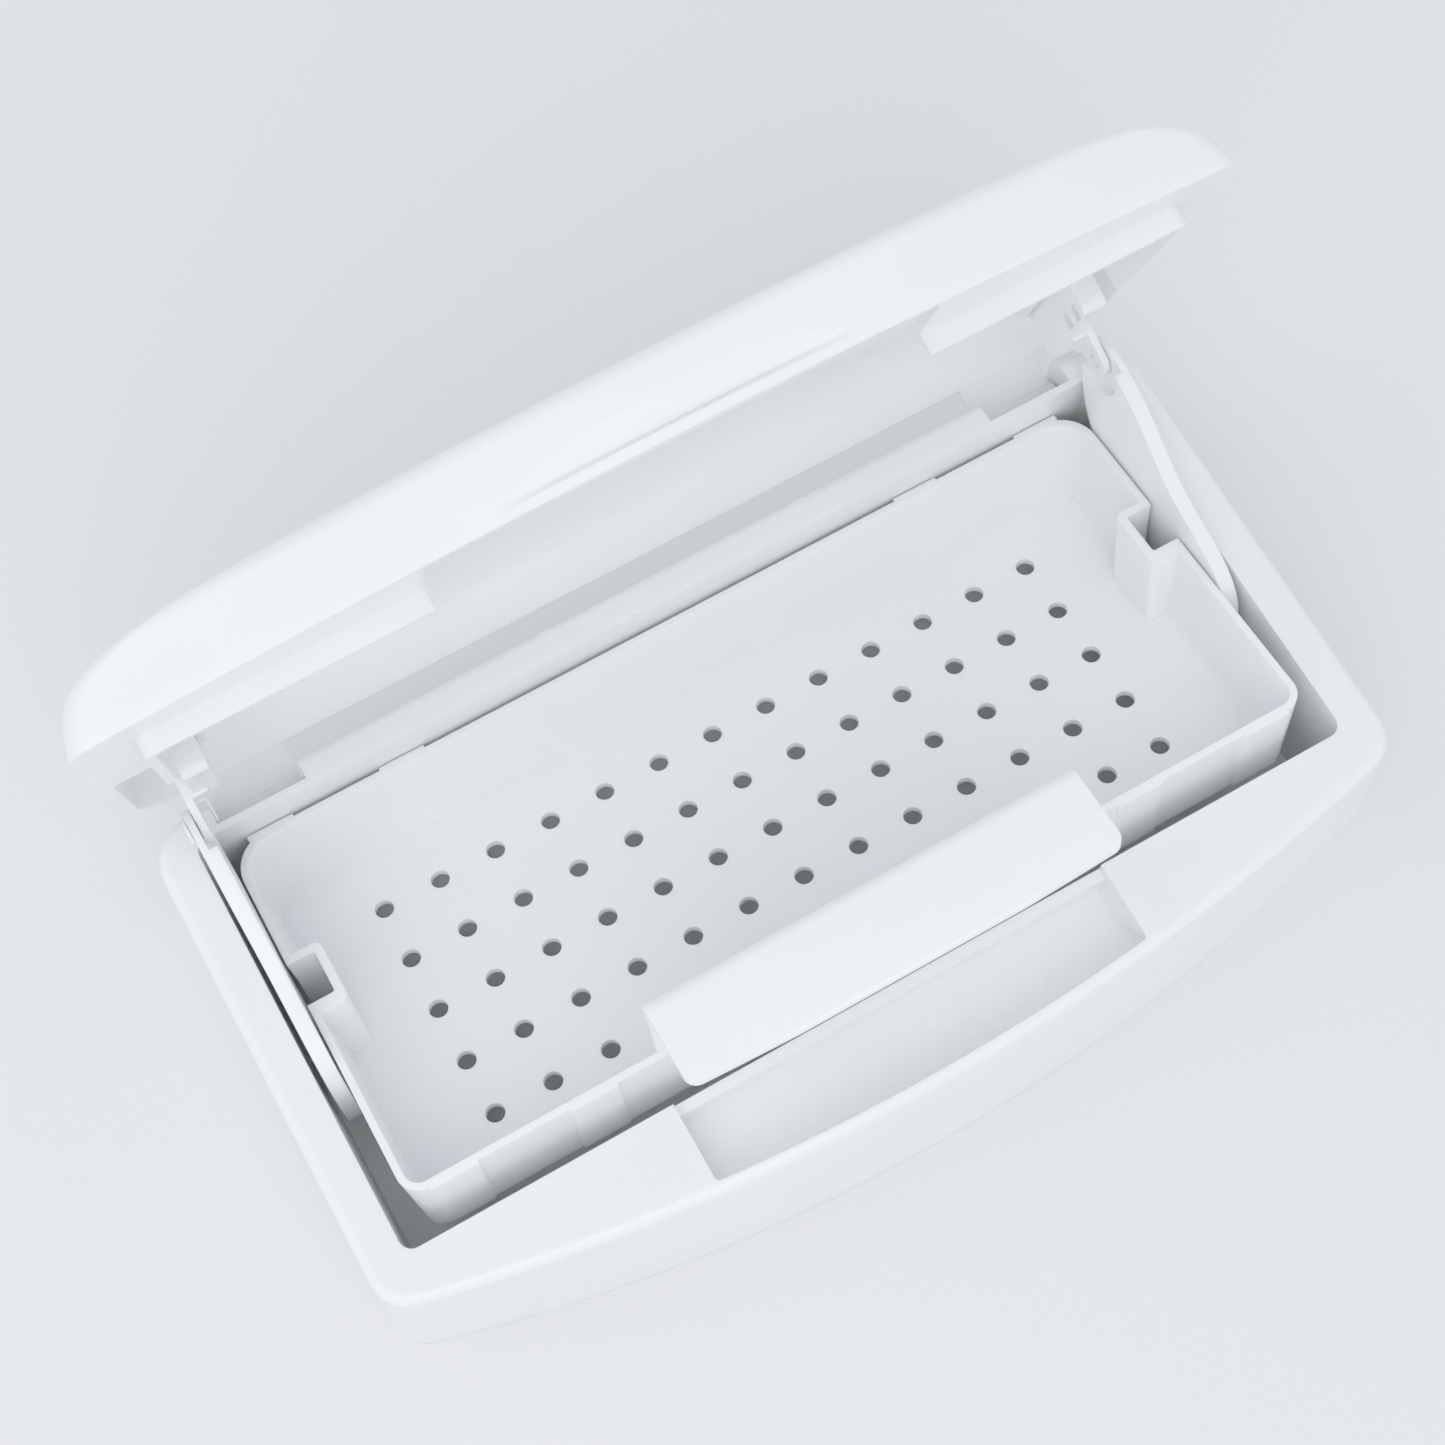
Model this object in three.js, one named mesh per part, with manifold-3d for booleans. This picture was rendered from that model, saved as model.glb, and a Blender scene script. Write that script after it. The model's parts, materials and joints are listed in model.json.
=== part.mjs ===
// Disinfecting tray box: tub, hinged lid, perforated lift-out strainer and two lift arms.
// Millimetres, +Z up. The origin is the centre of the underside. The box is modelled with the
// lid against its open stop; the front of the box faces -Y and the hinge line is at +Y.
import * as THREE from 'three';
import Module from 'manifold-3d';
import * as BufferGeometryUtils from 'three/addons/utils/BufferGeometryUtils.js';

const wasm = await Module();
wasm.setup();

// ---- overall sizes ----
const RIM_LENGTH = 245.2;
const RIM_DEPTH = 129.4;
const BASE_HEIGHT = 42;
const LID_HEIGHT = 19.5;

// ---- clearances ----
const GAP = 0.3;
const ARM_PLAY = 0.5;
const TRAY_PLAY = 7.6;
const PEG_CLEARANCE = 2.2;

// ---- base tub ----
const RIM_REAR = 66;
const RIM_BOW_RADIUS = 508;
const RIM_FRONT_CORNER = 9;
const RIM_REAR_CORNER = 11;
const FOOT_FLARE_SIDE = 1.7;
const FOOT_FLARE_FRONT = 5.1;
const FOOT_FLARE_REAR = 1.5;
const FOOT_BOW_RADIUS = 435;
const SHELL_WALL = 2.4;
const FLOOR_THICKNESS = 2.5;
const RIM_ROUNDING = 2.4;
const DECK_SIDE = 9.2;
const DECK_FRONT = 23.5;
const BASIN_CORNER = 3;
const REAR_WALL = 1.6;
const SCOOP_SIDE_ROOM = 1.8;
const SCOOP_DEPTH = 9;
const SCOOP_MARGIN = 2.6;
const SCOOP_LIP_DROP = 2.6;

// ---- hinge ----
const LID_OPEN_ANGLE = 75.5;
const HINGE_SETBACK = 2.7;
const HINGE_DROP = 10.3;
const KNUCKLE_RADIUS = 2.5;
const HINGE_PIN_RADIUS = 1.25;
const NOTCH_INNER = 36.6;
const NOTCH_OUTER = 15.6;
const EAR_THICKNESS = 6;
const NOTCH_FLOOR_DROP = 14;
const TONGUE_SIDE_GAP = 0.6;
const TONGUE_SETBACK = 0.7;
const HOUSING_PROUD = 2;

// ---- lid ----
const LID_WALL = 2;
const FLANGE_DROP = 4.3;
const FLANGE_THICKNESS = 2;
const FLANGE_SIDE_ROOM = 2.4;
const FLANGE_CLEARANCE = 0.7;
const FLANGE_SIDE_SLOT = 2.8;
const FLANGE_SIDE_END = 46;
const GRIP_HALF = 38;
const GRIP_DEPTH = 2.4;
const GRIP_HEIGHT = 8;
// Rings of the dome: share of the height, then how far the side, front and rear stand in.
const DOME = [
  [0, 0, 0, 0],
  [0.23, 1.2, 0.1, 0.4],
  [0.44, 2.9, 0.3, 0.9],
  [0.61, 5.8, 0.6, 1.6],
  [0.73, 10.3, 1.1, 2.8],
  [0.81, 16, 2.2, 4.4],
  [0.87, 23, 4, 6.6],
  [0.93, 36, 8, 10.6],
  [0.975, 52, 15, 18],
  [1, 74, 27, 28],
];
const DOME_CORNER_GROWTH = 0.5;

// ---- strainer tray ----
const TRAY_TILT = 10.72;
const TRAY_HEADROOM = 15.3;
const TRAY_FLOOR = 2;
const TRAY_WALL = 1.6;
const TRAY_DRAFT = 1.4;
const TRAY_FRONT_CORNER = 5;
const TRAY_REAR_CORNER = 9;
const TRAY_REAR_GAP = 1;
const TRAY_REAR_DROP = 10.2;
const TRAY_FOOT_HEIGHT = 2.6;
const TRAY_FOOT_HALF_LENGTH = 6;
const TRAY_FOOT_HALF_WIDTH = 2;
const TRAY_FOOT_FROM_END = 22;
const TRAY_FOOT_FROM_SIDE = 8;
const TRAY_FOOT_CORNER = 1.5;
const HOLE_PITCH = 14;
const HOLE_RADIUS = 2.2;
const HOLE_MARGIN = 16;
const PAD_WIDTH = 11;
const PAD_PROUD = 0.7;
const PADS_FROM_END = [42.4, 10.4];
const POCKET_CENTRE = 8.5;
const POCKET_WIDTH = 10.6;
const POCKET_DEPTH = 6.4;
const POCKET_WALL = 1.9;
const POCKET_FRONT_WALL = 3.2;
const HANDLE_HALF = 50;
const HANDLE_RISE = 22.3;
const HANDLE_REACH = 22.6;
const HANDLE_THICKNESS = 2.2;
const HANDLE_LEAN = 2.6;

// ---- lift arms and brackets ----
const ARM_THICKNESS = 3.4;
const LAP_THICKNESS = 1.6;
const LAP_ROOM = 4;
const ARM_PIVOT_FORWARD = 7.3;
const ARM_PIVOT_RISE = 25.3;
const ARM_EYE_RADIUS = 4.4;
const ARM_PIN_RADIUS = 1.2;
const ARM_PIN_HEAD_RADIUS = 2.6;
const ARM_PIN_HEAD = 0.7;
const PEG_RADIUS = 1.2;
const PEG_LENGTH = 9;
const PEG_ALONG = -4.5;
const BRACKET_WIDTH = 5.6;
const BRACKET_SIDE_GAP = 0.2;
const BRACKET_DROP = 5.5;
const BRACKET_FRONT = 34;
const BRACKET_BACK = 20;
const BRACKET_WINDOW = 3.4;
const BRACKET_HEADROOM = 5.6;
const BRIDGE_FRONT = 4.4;
const RIB_THICKNESS = 1.6;
const RIB_OVERLAP = 6.6;

// ---- positions that follow from the sizes above ----
const HALF = RIM_LENGTH / 2;
const RIM_FRONT = RIM_REAR - RIM_DEPTH;
const DECK_REAR = HINGE_SETBACK + KNUCKLE_RADIUS + GAP + REAR_WALL;
const ARM_SLOT = 2 * GAP + ARM_THICKNESS + GAP + ARM_PIN_HEAD + ARM_PLAY;
const BASIN_HALF = HALF - DECK_SIDE;
const BASIN_FRONT = RIM_FRONT + DECK_FRONT;
const BASIN_REAR = RIM_REAR - DECK_REAR;
const NOTCH_FRONT = BASIN_REAR + REAR_WALL;
const HINGE_Y = RIM_REAR - HINGE_SETBACK;
const HINGE_Z = BASE_HEIGHT - HINGE_DROP;
const NOTCH_IN = HALF - NOTCH_INNER;
const NOTCH_OUT = HALF - NOTCH_OUTER;
const NOTCH_FLOOR = BASE_HEIGHT - NOTCH_FLOOR_DROP;
const SCOOP_HALF = HANDLE_HALF + SCOOP_SIDE_ROOM;
const FLANGE_GAP_HALF = HANDLE_HALF + FLANGE_SIDE_ROOM;
const TRAY_HALF = BASIN_HALF - ARM_SLOT;
const TRAY_DEPTH = BASIN_REAR - BASIN_FRONT - TRAY_PLAY;
const TRAY_HEIGHT = BASE_HEIGHT - TRAY_HEADROOM;
const HOLES_EACH_SIDE = Math.floor((TRAY_HALF - HOLE_MARGIN) / HOLE_PITCH);
const HOLES_EACH_WAY = Math.floor((TRAY_DEPTH / 2 - HOLE_MARGIN) / HOLE_PITCH);
const ARM_INNER = TRAY_HALF + 2 * GAP;
const ARM_OUTER = ARM_INNER + ARM_THICKNESS;
const LID_BOTTOM = BASE_HEIGHT + GAP;
const LID_TOP = BASE_HEIGHT + LID_HEIGHT;
const ARC_STEPS = 6;
const BOW_STEPS = 16;
const ROUND_STEPS = 24;
const OVERSHOOT = 1;

// The open pose turns the lid and the tray about lines along X. A positive angle lifts the front.
function turn(point, centre, degrees) {
  const angle = THREE.MathUtils.degToRad(degrees);
  const y = point[0] - centre[0];
  const z = point[1] - centre[1];
  return [
    centre[0] + y * Math.cos(angle) + z * Math.sin(angle),
    centre[1] - y * Math.sin(angle) + z * Math.cos(angle),
  ];
}

const HINGE = [HINGE_Y, HINGE_Z];

// Tray frame: origin under the middle of the tray floor's lower face, Y across, Z up.
const TRAY_REAR_RIM = [BASIN_REAR - TRAY_REAR_GAP, BASE_HEIGHT - TRAY_REAR_DROP];
function fromTray(y, z) {
  const angle = THREE.MathUtils.degToRad(TRAY_TILT);
  const dy = y - TRAY_DEPTH / 2;
  const dz = z - TRAY_HEIGHT;
  return [
    TRAY_REAR_RIM[0] + dy * Math.cos(angle) + dz * Math.sin(angle),
    TRAY_REAR_RIM[1] - dy * Math.sin(angle) + dz * Math.cos(angle),
  ];
}

// Arm pivot and lifting peg, in the open pose.
const ARM_PIVOT = [HINGE_Y - ARM_PIVOT_FORWARD, HINGE_Z + ARM_PIVOT_RISE];
const ARM_PEG = fromTray(PEG_ALONG, -PEG_RADIUS - PEG_CLEARANCE);

// ---- solid helpers ----
function toSolid(geometry) {
  const bare = new THREE.BufferGeometry();
  bare.setAttribute('position', geometry.getAttribute('position'));
  if (geometry.index) bare.setIndex(geometry.index);
  const joined = BufferGeometryUtils.mergeVertices(bare, 1e-5);
  return new wasm.Manifold(new wasm.Mesh({
    numProp: 3,
    vertProperties: new Float32Array(joined.getAttribute('position').array),
    triVerts: new Uint32Array(joined.index.array),
  }));
}

function toMesh(solid, name, material) {
  const data = solid.getMesh();
  const geometry = new THREE.BufferGeometry();
  geometry.setAttribute('position', new THREE.BufferAttribute(new Float32Array(data.vertProperties), 3));
  geometry.setIndex(new THREE.BufferAttribute(new Uint32Array(data.triVerts), 1));
  geometry.computeVertexNormals();
  const mesh = new THREE.Mesh(geometry, material);
  mesh.name = name;
  return mesh;
}

// Corner list [x, y, radius] to a list of outline points, counter-clockwise.
function rounded(corners) {
  const points = [];
  corners.forEach(([x, y, radius], i) => {
    if (!radius) {
      points.push(new THREE.Vector2(x, y));
      return;
    }
    const here = new THREE.Vector2(x, y);
    const before = corners[(i + corners.length - 1) % corners.length];
    const after = corners[(i + 1) % corners.length];
    const back = new THREE.Vector2(before[0], before[1]).sub(here).normalize();
    const ahead = new THREE.Vector2(after[0], after[1]).sub(here).normalize();
    const half = Math.acos(THREE.MathUtils.clamp(back.dot(ahead), -1, 1)) / 2;
    const run = radius / Math.tan(half);
    const start = back.clone().multiplyScalar(run).add(here);
    const end = ahead.clone().multiplyScalar(run).add(here);
    const middle = back.clone().add(ahead).normalize().multiplyScalar(radius / Math.sin(half)).add(here);
    const a0 = Math.atan2(start.y - middle.y, start.x - middle.x);
    let sweep = Math.atan2(end.y - middle.y, end.x - middle.x) - a0;
    if (sweep > Math.PI) sweep -= 2 * Math.PI;
    if (sweep < -Math.PI) sweep += 2 * Math.PI;
    for (let k = 0; k <= ARC_STEPS; k += 1) {
      const a = a0 + (sweep * k) / ARC_STEPS;
      points.push(new THREE.Vector2(middle.x + radius * Math.cos(a), middle.y + radius * Math.sin(a)));
    }
  });
  return points;
}

// A closed skin through rings that all have the same number of points, bottom ring first.
function loft(rings) {
  const count = rings[0].points.length;
  const position = [];
  rings.forEach(({ points, z }) => points.forEach((p) => position.push(p.x, p.y, z)));
  const index = [];
  for (let r = 0; r + 1 < rings.length; r += 1) {
    for (let i = 0; i < count; i += 1) {
      const j = (i + 1) % count;
      const a = r * count + i;
      const b = r * count + j;
      index.push(a, b, b + count, a, b + count, a + count);
    }
  }
  const lid = (rings.length - 1) * count;
  THREE.ShapeUtils.triangulateShape(rings[0].points, []).forEach(([a, b, c]) => index.push(a, c, b));
  THREE.ShapeUtils.triangulateShape(rings[rings.length - 1].points, []).forEach(([a, b, c]) => {
    index.push(lid + a, lid + b, lid + c);
  });
  const geometry = new THREE.BufferGeometry();
  geometry.setAttribute('position', new THREE.Float32BufferAttribute(position, 3));
  geometry.setIndex(index);
  return toSolid(geometry);
}

function block(x0, x1, y0, y1, z0, z1, corner = 0) {
  const points = rounded([[x0, y0, corner], [x1, y0, corner], [x1, y1, corner], [x0, y1, corner]]);
  return loft([{ points, z: z0 }, { points, z: z1 }]);
}

// Extrude a YZ outline along X, from xa to xb.
function sideways(outline, xa, xb) {
  const x0 = Math.min(xa, xb);
  const shape = new THREE.Shape(outline.map(([y, z]) => new THREE.Vector2(y, z)));
  const geometry = new THREE.ExtrudeGeometry(shape, { depth: Math.abs(xb - xa), bevelEnabled: false });
  geometry.applyMatrix4(new THREE.Matrix4().set(0, 0, 1, x0, 1, 0, 0, 0, 0, 1, 0, 0, 0, 0, 0, 1));
  return toSolid(geometry);
}

function roundedSideways(corners, xa, xb) {
  return sideways(rounded(corners).map((p) => [p.x, p.y]), xa, xb);
}

function rod(y, z, radius, xa, xb) {
  const circle = [];
  for (let k = 0; k < ROUND_STEPS; k += 1) {
    const a = (2 * Math.PI * k) / ROUND_STEPS;
    circle.push([y + radius * Math.cos(a), z + radius * Math.sin(a)]);
  }
  return sideways(circle, xa, xb);
}

function merged(solids) {
  return solids.reduce((all, next) => all.add(next));
}

// Turn a solid about a line along X. A positive angle lifts the front.
function turned(solid, centre, degrees) {
  return solid
    .translate([0, -centre[0], -centre[1]])
    .rotate([-degrees, 0, 0])
    .translate([0, centre[0], centre[1]]);
}

// ---- box outline ----
// The outline has a bowed front, parallel sides and a straight rear.
function boxOutline(inset, grow = { side: 0, front: 0, rear: 0, bow: RIM_BOW_RADIUS }) {
  const half = HALF + grow.side - inset;
  const front = RIM_FRONT - grow.front + inset;
  const rear = RIM_REAR + grow.rear - inset;
  const bow = grow.bow - inset;
  const bowEdge = (x) => front + bow - Math.sqrt(bow * bow - x * x);
  const corners = [];
  const reach = half - RIM_FRONT_CORNER;
  for (let k = 0; k <= BOW_STEPS; k += 1) {
    const x = -reach + (2 * reach * k) / BOW_STEPS;
    corners.push([x, bowEdge(x), 0]);
  }
  const frontCorner = Math.max(RIM_FRONT_CORNER - inset, 1.5);
  const rearCorner = Math.max(RIM_REAR_CORNER - inset, 1.5);
  corners.push([half, bowEdge(half), frontCorner]);
  corners.push([half, rear, rearCorner]);
  corners.push([-half, rear, rearCorner]);
  corners.push([-half, bowEdge(half), frontCorner]);
  return rounded(corners);
}

// Quarter-round rings from an upright wall into a flat top.
function topRounding(radius, z, outlineAt, inset = 0) {
  const rings = [];
  for (let k = 0; k <= 4; k += 1) {
    const a = (Math.PI / 2) * (k / 4);
    const step = inset + radius * (1 - Math.cos(a));
    rings.push({ points: outlineAt(step), z: z - radius + radius * Math.sin(a) });
  }
  return rings;
}

const FOOT = { side: FOOT_FLARE_SIDE, front: FOOT_FLARE_FRONT, rear: FOOT_FLARE_REAR, bow: FOOT_BOW_RADIUS };

// ---- base tub ----
function scoopOutline(grow) {
  const back = BASIN_FRONT + OVERSHOOT;
  const front = RIM_FRONT + SCOOP_MARGIN - grow;
  const half = SCOOP_HALF + grow;
  const bow = RIM_BOW_RADIUS;
  const corners = [[half, back, 0], [-half, back, 0]];
  const edge = (x) => front + bow - Math.sqrt(bow * bow - x * x);
  corners.push([-half, edge(half), 1.2 + grow]);
  for (let k = 1; k < 6; k += 1) {
    const x = -half + (2 * half * k) / 6;
    corners.push([x, edge(x), 0]);
  }
  corners.push([half, edge(half), 1.2 + grow]);
  return rounded(corners);
}

// The scoop is a shallow dish: a narrower ring further down.
function scoop(grow, top) {
  const at = (inset) => scoopOutline(grow).map((p) => new THREE.Vector2(
    p.x * (1 - (0.2 * inset) / SCOOP_HALF),
    p.y > BASIN_FRONT ? p.y : p.y + inset * 1.4,
  ));
  const floor = BASE_HEIGHT - SCOOP_DEPTH - grow;
  return loft([
    { points: at(7), z: floor },
    { points: at(4), z: floor + 1 },
    { points: at(1.6), z: floor + 3.5 },
    { points: at(0.4), z: floor + 6.5 },
    { points: at(0), z: floor + SCOOP_DEPTH },
    { points: at(0), z: top },
  ]);
}

function hingeHousing(side) {
  const ear = roundedSideways([
    [NOTCH_FRONT - REAR_WALL, NOTCH_FLOOR - SHELL_WALL, 0],
    [RIM_REAR + HOUSING_PROUD, NOTCH_FLOOR - SHELL_WALL, 2],
    [RIM_REAR + HOUSING_PROUD, BASE_HEIGHT - RIM_ROUNDING, 3],
    [RIM_REAR - RIM_ROUNDING, BASE_HEIGHT, 1],
    [NOTCH_FRONT - REAR_WALL, BASE_HEIGHT, 0],
  ], side * NOTCH_OUT, side * (NOTCH_OUT + EAR_THICKNESS));
  const cheek = sideways([
    [NOTCH_FRONT - REAR_WALL, NOTCH_FLOOR - SHELL_WALL],
    [RIM_REAR, NOTCH_FLOOR - SHELL_WALL],
    [RIM_REAR, BASE_HEIGHT - RIM_ROUNDING],
    [NOTCH_FRONT - REAR_WALL, BASE_HEIGHT - RIM_ROUNDING],
  ], side * NOTCH_IN, side * (NOTCH_IN - SHELL_WALL));
  const shelf = sideways([
    [NOTCH_FRONT - REAR_WALL, NOTCH_FLOOR - SHELL_WALL],
    [RIM_REAR, NOTCH_FLOOR - SHELL_WALL],
    [RIM_REAR, NOTCH_FLOOR],
    [NOTCH_FRONT - REAR_WALL, NOTCH_FLOOR],
  ], side * (NOTCH_IN - SHELL_WALL), side * (NOTCH_OUT + EAR_THICKNESS));
  return merged([ear, cheek, shelf]);
}

function hingeNotch(side) {
  const opening = sideways([
    [NOTCH_FRONT, NOTCH_FLOOR],
    [RIM_REAR + 5, NOTCH_FLOOR],
    [RIM_REAR + 5, BASE_HEIGHT + OVERSHOOT],
    [NOTCH_FRONT, BASE_HEIGHT + OVERSHOOT],
  ], side * NOTCH_IN, side * NOTCH_OUT);
  const bore = rod(
    HINGE_Y,
    HINGE_Z,
    HINGE_PIN_RADIUS + GAP,
    side * (NOTCH_IN - SHELL_WALL - OVERSHOOT),
    side * (NOTCH_OUT + EAR_THICKNESS + OVERSHOOT),
  );
  return opening.add(bore);
}

function baseTub() {
  const outer = loft([
    { points: boxOutline(0, FOOT), z: 0 },
    ...topRounding(RIM_ROUNDING, BASE_HEIGHT, (inset) => boxOutline(inset)),
  ]);
  const under = loft([
    { points: boxOutline(SHELL_WALL + 0.05, FOOT), z: -OVERSHOOT },
    { points: boxOutline(SHELL_WALL, FOOT), z: 0 },
    { points: boxOutline(SHELL_WALL), z: BASE_HEIGHT - SHELL_WALL },
  ]);
  const basinShell = block(
    -BASIN_HALF - SHELL_WALL,
    BASIN_HALF + SHELL_WALL,
    BASIN_FRONT - SHELL_WALL,
    BASIN_REAR + REAR_WALL,
    0,
    BASE_HEIGHT - SHELL_WALL / 2,
    BASIN_CORNER + SHELL_WALL,
  );
  const basin = block(
    -BASIN_HALF,
    BASIN_HALF,
    BASIN_FRONT,
    BASIN_REAR,
    FLOOR_THICKNESS,
    BASE_HEIGHT + OVERSHOOT,
    BASIN_CORNER,
  );
  const lipCut = block(
    -SCOOP_HALF,
    SCOOP_HALF,
    BASIN_FRONT - SHELL_WALL - OVERSHOOT,
    BASIN_FRONT + OVERSHOOT,
    BASE_HEIGHT - SCOOP_LIP_DROP,
    BASE_HEIGHT + OVERSHOOT,
  );
  const dish = scoop(0, BASE_HEIGHT + OVERSHOOT)
    .subtract(block(-HALF, HALF, BASIN_FRONT - SHELL_WALL, BASIN_FRONT + 2 * OVERSHOOT, 0, BASE_HEIGHT * 2));
  return outer
    .subtract(under.subtract(basinShell))
    .add(scoop(SHELL_WALL, BASE_HEIGHT - SHELL_WALL / 2))
    .add(hingeHousing(1))
    .add(hingeHousing(-1))
    .subtract(basin)
    .subtract(dish)
    .subtract(lipCut)
    .subtract(hingeNotch(1))
    .subtract(hingeNotch(-1));
}

// ---- lid, modelled closed and then turned open about the hinge ----
function domeOutline(side, front, rear) {
  const half = HALF - side;
  const y0 = RIM_FRONT + front;
  const y1 = RIM_REAR - rear;
  const bow = RIM_BOW_RADIUS - front;
  const edge = (x) => y0 + bow - Math.sqrt(bow * bow - x * x);
  const limit = 0.4 * (y1 - y0);
  const frontCorner = Math.min(RIM_FRONT_CORNER + DOME_CORNER_GROWTH * side, limit);
  const rearCorner = Math.min(RIM_REAR_CORNER + DOME_CORNER_GROWTH * side, limit);
  const reach = half - frontCorner;
  const corners = [];
  for (let k = 0; k <= BOW_STEPS; k += 1) {
    const x = -reach + (2 * reach * k) / BOW_STEPS;
    corners.push([x, edge(x), 0]);
  }
  corners.push([half, edge(half), frontCorner * 0.9]);
  corners.push([half, y1, rearCorner]);
  corners.push([-half, y1, rearCorner]);
  corners.push([-half, edge(half), frontCorner * 0.9]);
  return rounded(corners);
}

function domeRings(wall) {
  const height = LID_TOP - LID_BOTTOM;
  return DOME.map(([share, side, front, rear]) => ({
    points: domeOutline(side + wall, front + wall, rear + wall),
    z: LID_BOTTOM + share * height - (share > 0 ? wall : 0),
  }));
}

// Level land and hanging flange around the front of the lid; the middle is open for the handle.
function lidFlange() {
  const flangeFront = BASIN_FRONT + FLANGE_CLEARANCE;
  const flangeHalf = BASIN_HALF - FLANGE_SIDE_SLOT;
  const rear = BASIN_FRONT + FLANGE_SIDE_END;
  const inside = block(
    -flangeHalf + FLANGE_THICKNESS,
    flangeHalf - FLANGE_THICKNESS,
    flangeFront + FLANGE_THICKNESS,
    RIM_REAR * 2,
    0,
    LID_TOP * 2,
  );
  const middle = block(-FLANGE_GAP_HALF, FLANGE_GAP_HALF, RIM_FRONT - 20, RIM_REAR, 0, LID_TOP * 2);
  const behind = block(-HALF * 2, HALF * 2, rear, RIM_REAR * 2, 0, LID_TOP * 2);
  const land = loft([
    { points: boxOutline(LID_WALL / 2), z: LID_BOTTOM },
    { points: boxOutline(LID_WALL / 2), z: LID_BOTTOM + LID_WALL },
  ]);
  const flange = block(
    -flangeHalf,
    flangeHalf,
    flangeFront,
    RIM_REAR,
    BASE_HEIGHT - FLANGE_DROP,
    LID_BOTTOM + LID_WALL,
    BASIN_CORNER,
  );
  return land.add(flange).subtract(inside).subtract(middle).subtract(behind);
}

// Each hinge tongue runs from the rear wall down to a knuckle round the hinge pin.
function hingeTongue(side) {
  const inner = side * (NOTCH_IN + TONGUE_SIDE_GAP);
  const outer = side * (NOTCH_OUT - TONGUE_SIDE_GAP);
  const plate = sideways([
    [HINGE_Y, HINGE_Z - 0.5],
    [HINGE_Y + KNUCKLE_RADIUS, HINGE_Z],
    [RIM_REAR - TONGUE_SETBACK, HINGE_Z + 5],
    [RIM_REAR - TONGUE_SETBACK, LID_BOTTOM + 2],
    [RIM_REAR - LID_WALL, LID_BOTTOM + 2],
    [RIM_REAR - LID_WALL, HINGE_Z + 5],
  ], inner, outer);
  return plate.add(rod(HINGE_Y, HINGE_Z, KNUCKLE_RADIUS, inner, outer));
}

// Upright ribs under the lid top hold one arm bracket.
const BRACKET_TOP = LID_TOP - LID_WALL - BRACKET_HEADROOM;
const BRACKET_X = TRAY_HALF - BRACKET_WIDTH - BRACKET_SIDE_GAP;
const BRACKET_REAR = HINGE_Y - BRACKET_BACK;
const BRACKET_NOSE = BRACKET_REAR - BRACKET_FRONT;
function bracketRibs(side) {
  const top = LID_TOP;
  const low = BRACKET_TOP - RIB_OVERLAP;
  const inner = BRACKET_X - GAP;
  const outer = BRACKET_X + BRACKET_WIDTH + GAP;
  const rib = (xa, xb) => sideways([
    [BRACKET_NOSE, low],
    [BRACKET_REAR, low],
    [BRACKET_REAR, top],
    [BRACKET_NOSE, top],
  ], side * xa, side * xb);
  return rib(inner - RIB_THICKNESS, inner).add(rib(outer, outer + RIB_THICKNESS));
}

// A crescent grip pressed into the front wall above the lip. It fades out towards its top.
// With a wall given, the same shape grown by that wall backs the grip.
function gripSolid(wall) {
  const floor = LID_BOTTOM + LID_WALL;
  const ring = (height) => {
    const fade = 1 - height / GRIP_HEIGHT;
    const half = GRIP_HALF * (0.55 + 0.45 * fade) + wall;
    const points = [new THREE.Vector2(half, RIM_FRONT - 10), new THREE.Vector2(-half, RIM_FRONT - 10)];
    for (let k = 0; k <= BOW_STEPS; k += 1) {
      const share = -1 + (2 * k) / BOW_STEPS;
      const depth = (GRIP_DEPTH * fade + wall) * (1 - share * share);
      const rise = (half * share) ** 2 / (2 * RIM_BOW_RADIUS);
      points.push(new THREE.Vector2(half * share, RIM_FRONT + rise + depth));
    }
    return points.reverse();
  };
  return loft([
    { points: ring(0), z: wall > 0 ? LID_BOTTOM : floor },
    { points: ring(0), z: floor + 0.1 * GRIP_HEIGHT },
    { points: ring(0.5 * GRIP_HEIGHT), z: floor + 0.5 * GRIP_HEIGHT },
    { points: ring(GRIP_HEIGHT), z: floor + GRIP_HEIGHT },
  ]);
}

function lidShell() {
  const outer = loft(domeRings(0));
  const hollow = loft([
    { points: domeOutline(LID_WALL, LID_WALL, LID_WALL), z: LID_BOTTOM - OVERSHOOT },
    ...domeRings(LID_WALL),
  ]);
  const closed = outer
    .subtract(hollow)
    .add(gripSolid(LID_WALL).intersect(outer))
    .subtract(gripSolid(0))
    .add(lidFlange())
    .add(hingeTongue(1))
    .add(hingeTongue(-1))
    .add(bracketRibs(1).intersect(outer))
    .add(bracketRibs(-1).intersect(outer))
    .subtract(rod(HINGE_Y, HINGE_Z, HINGE_PIN_RADIUS + GAP, -HALF, HALF));
  return turned(closed, HINGE, LID_OPEN_ANGLE);
}

// ---- hinge pins ----
function hingePin(side) {
  return rod(
    HINGE_Y,
    HINGE_Z,
    HINGE_PIN_RADIUS,
    side * (NOTCH_IN - SHELL_WALL),
    side * (NOTCH_OUT + EAR_THICKNESS - GAP),
  );
}

// ---- strainer tray, modelled level about its own centre and then set into the tub ----
function trayOutline(inset) {
  const half = TRAY_HALF - inset;
  const deep = TRAY_DEPTH / 2 - inset;
  const front = Math.max(TRAY_FRONT_CORNER - inset, 1.5);
  const rear = Math.max(TRAY_REAR_CORNER - inset, 1.5);
  return rounded([[-half, -deep, front], [half, -deep, front], [half, deep, rear], [-half, deep, rear]]);
}

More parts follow.
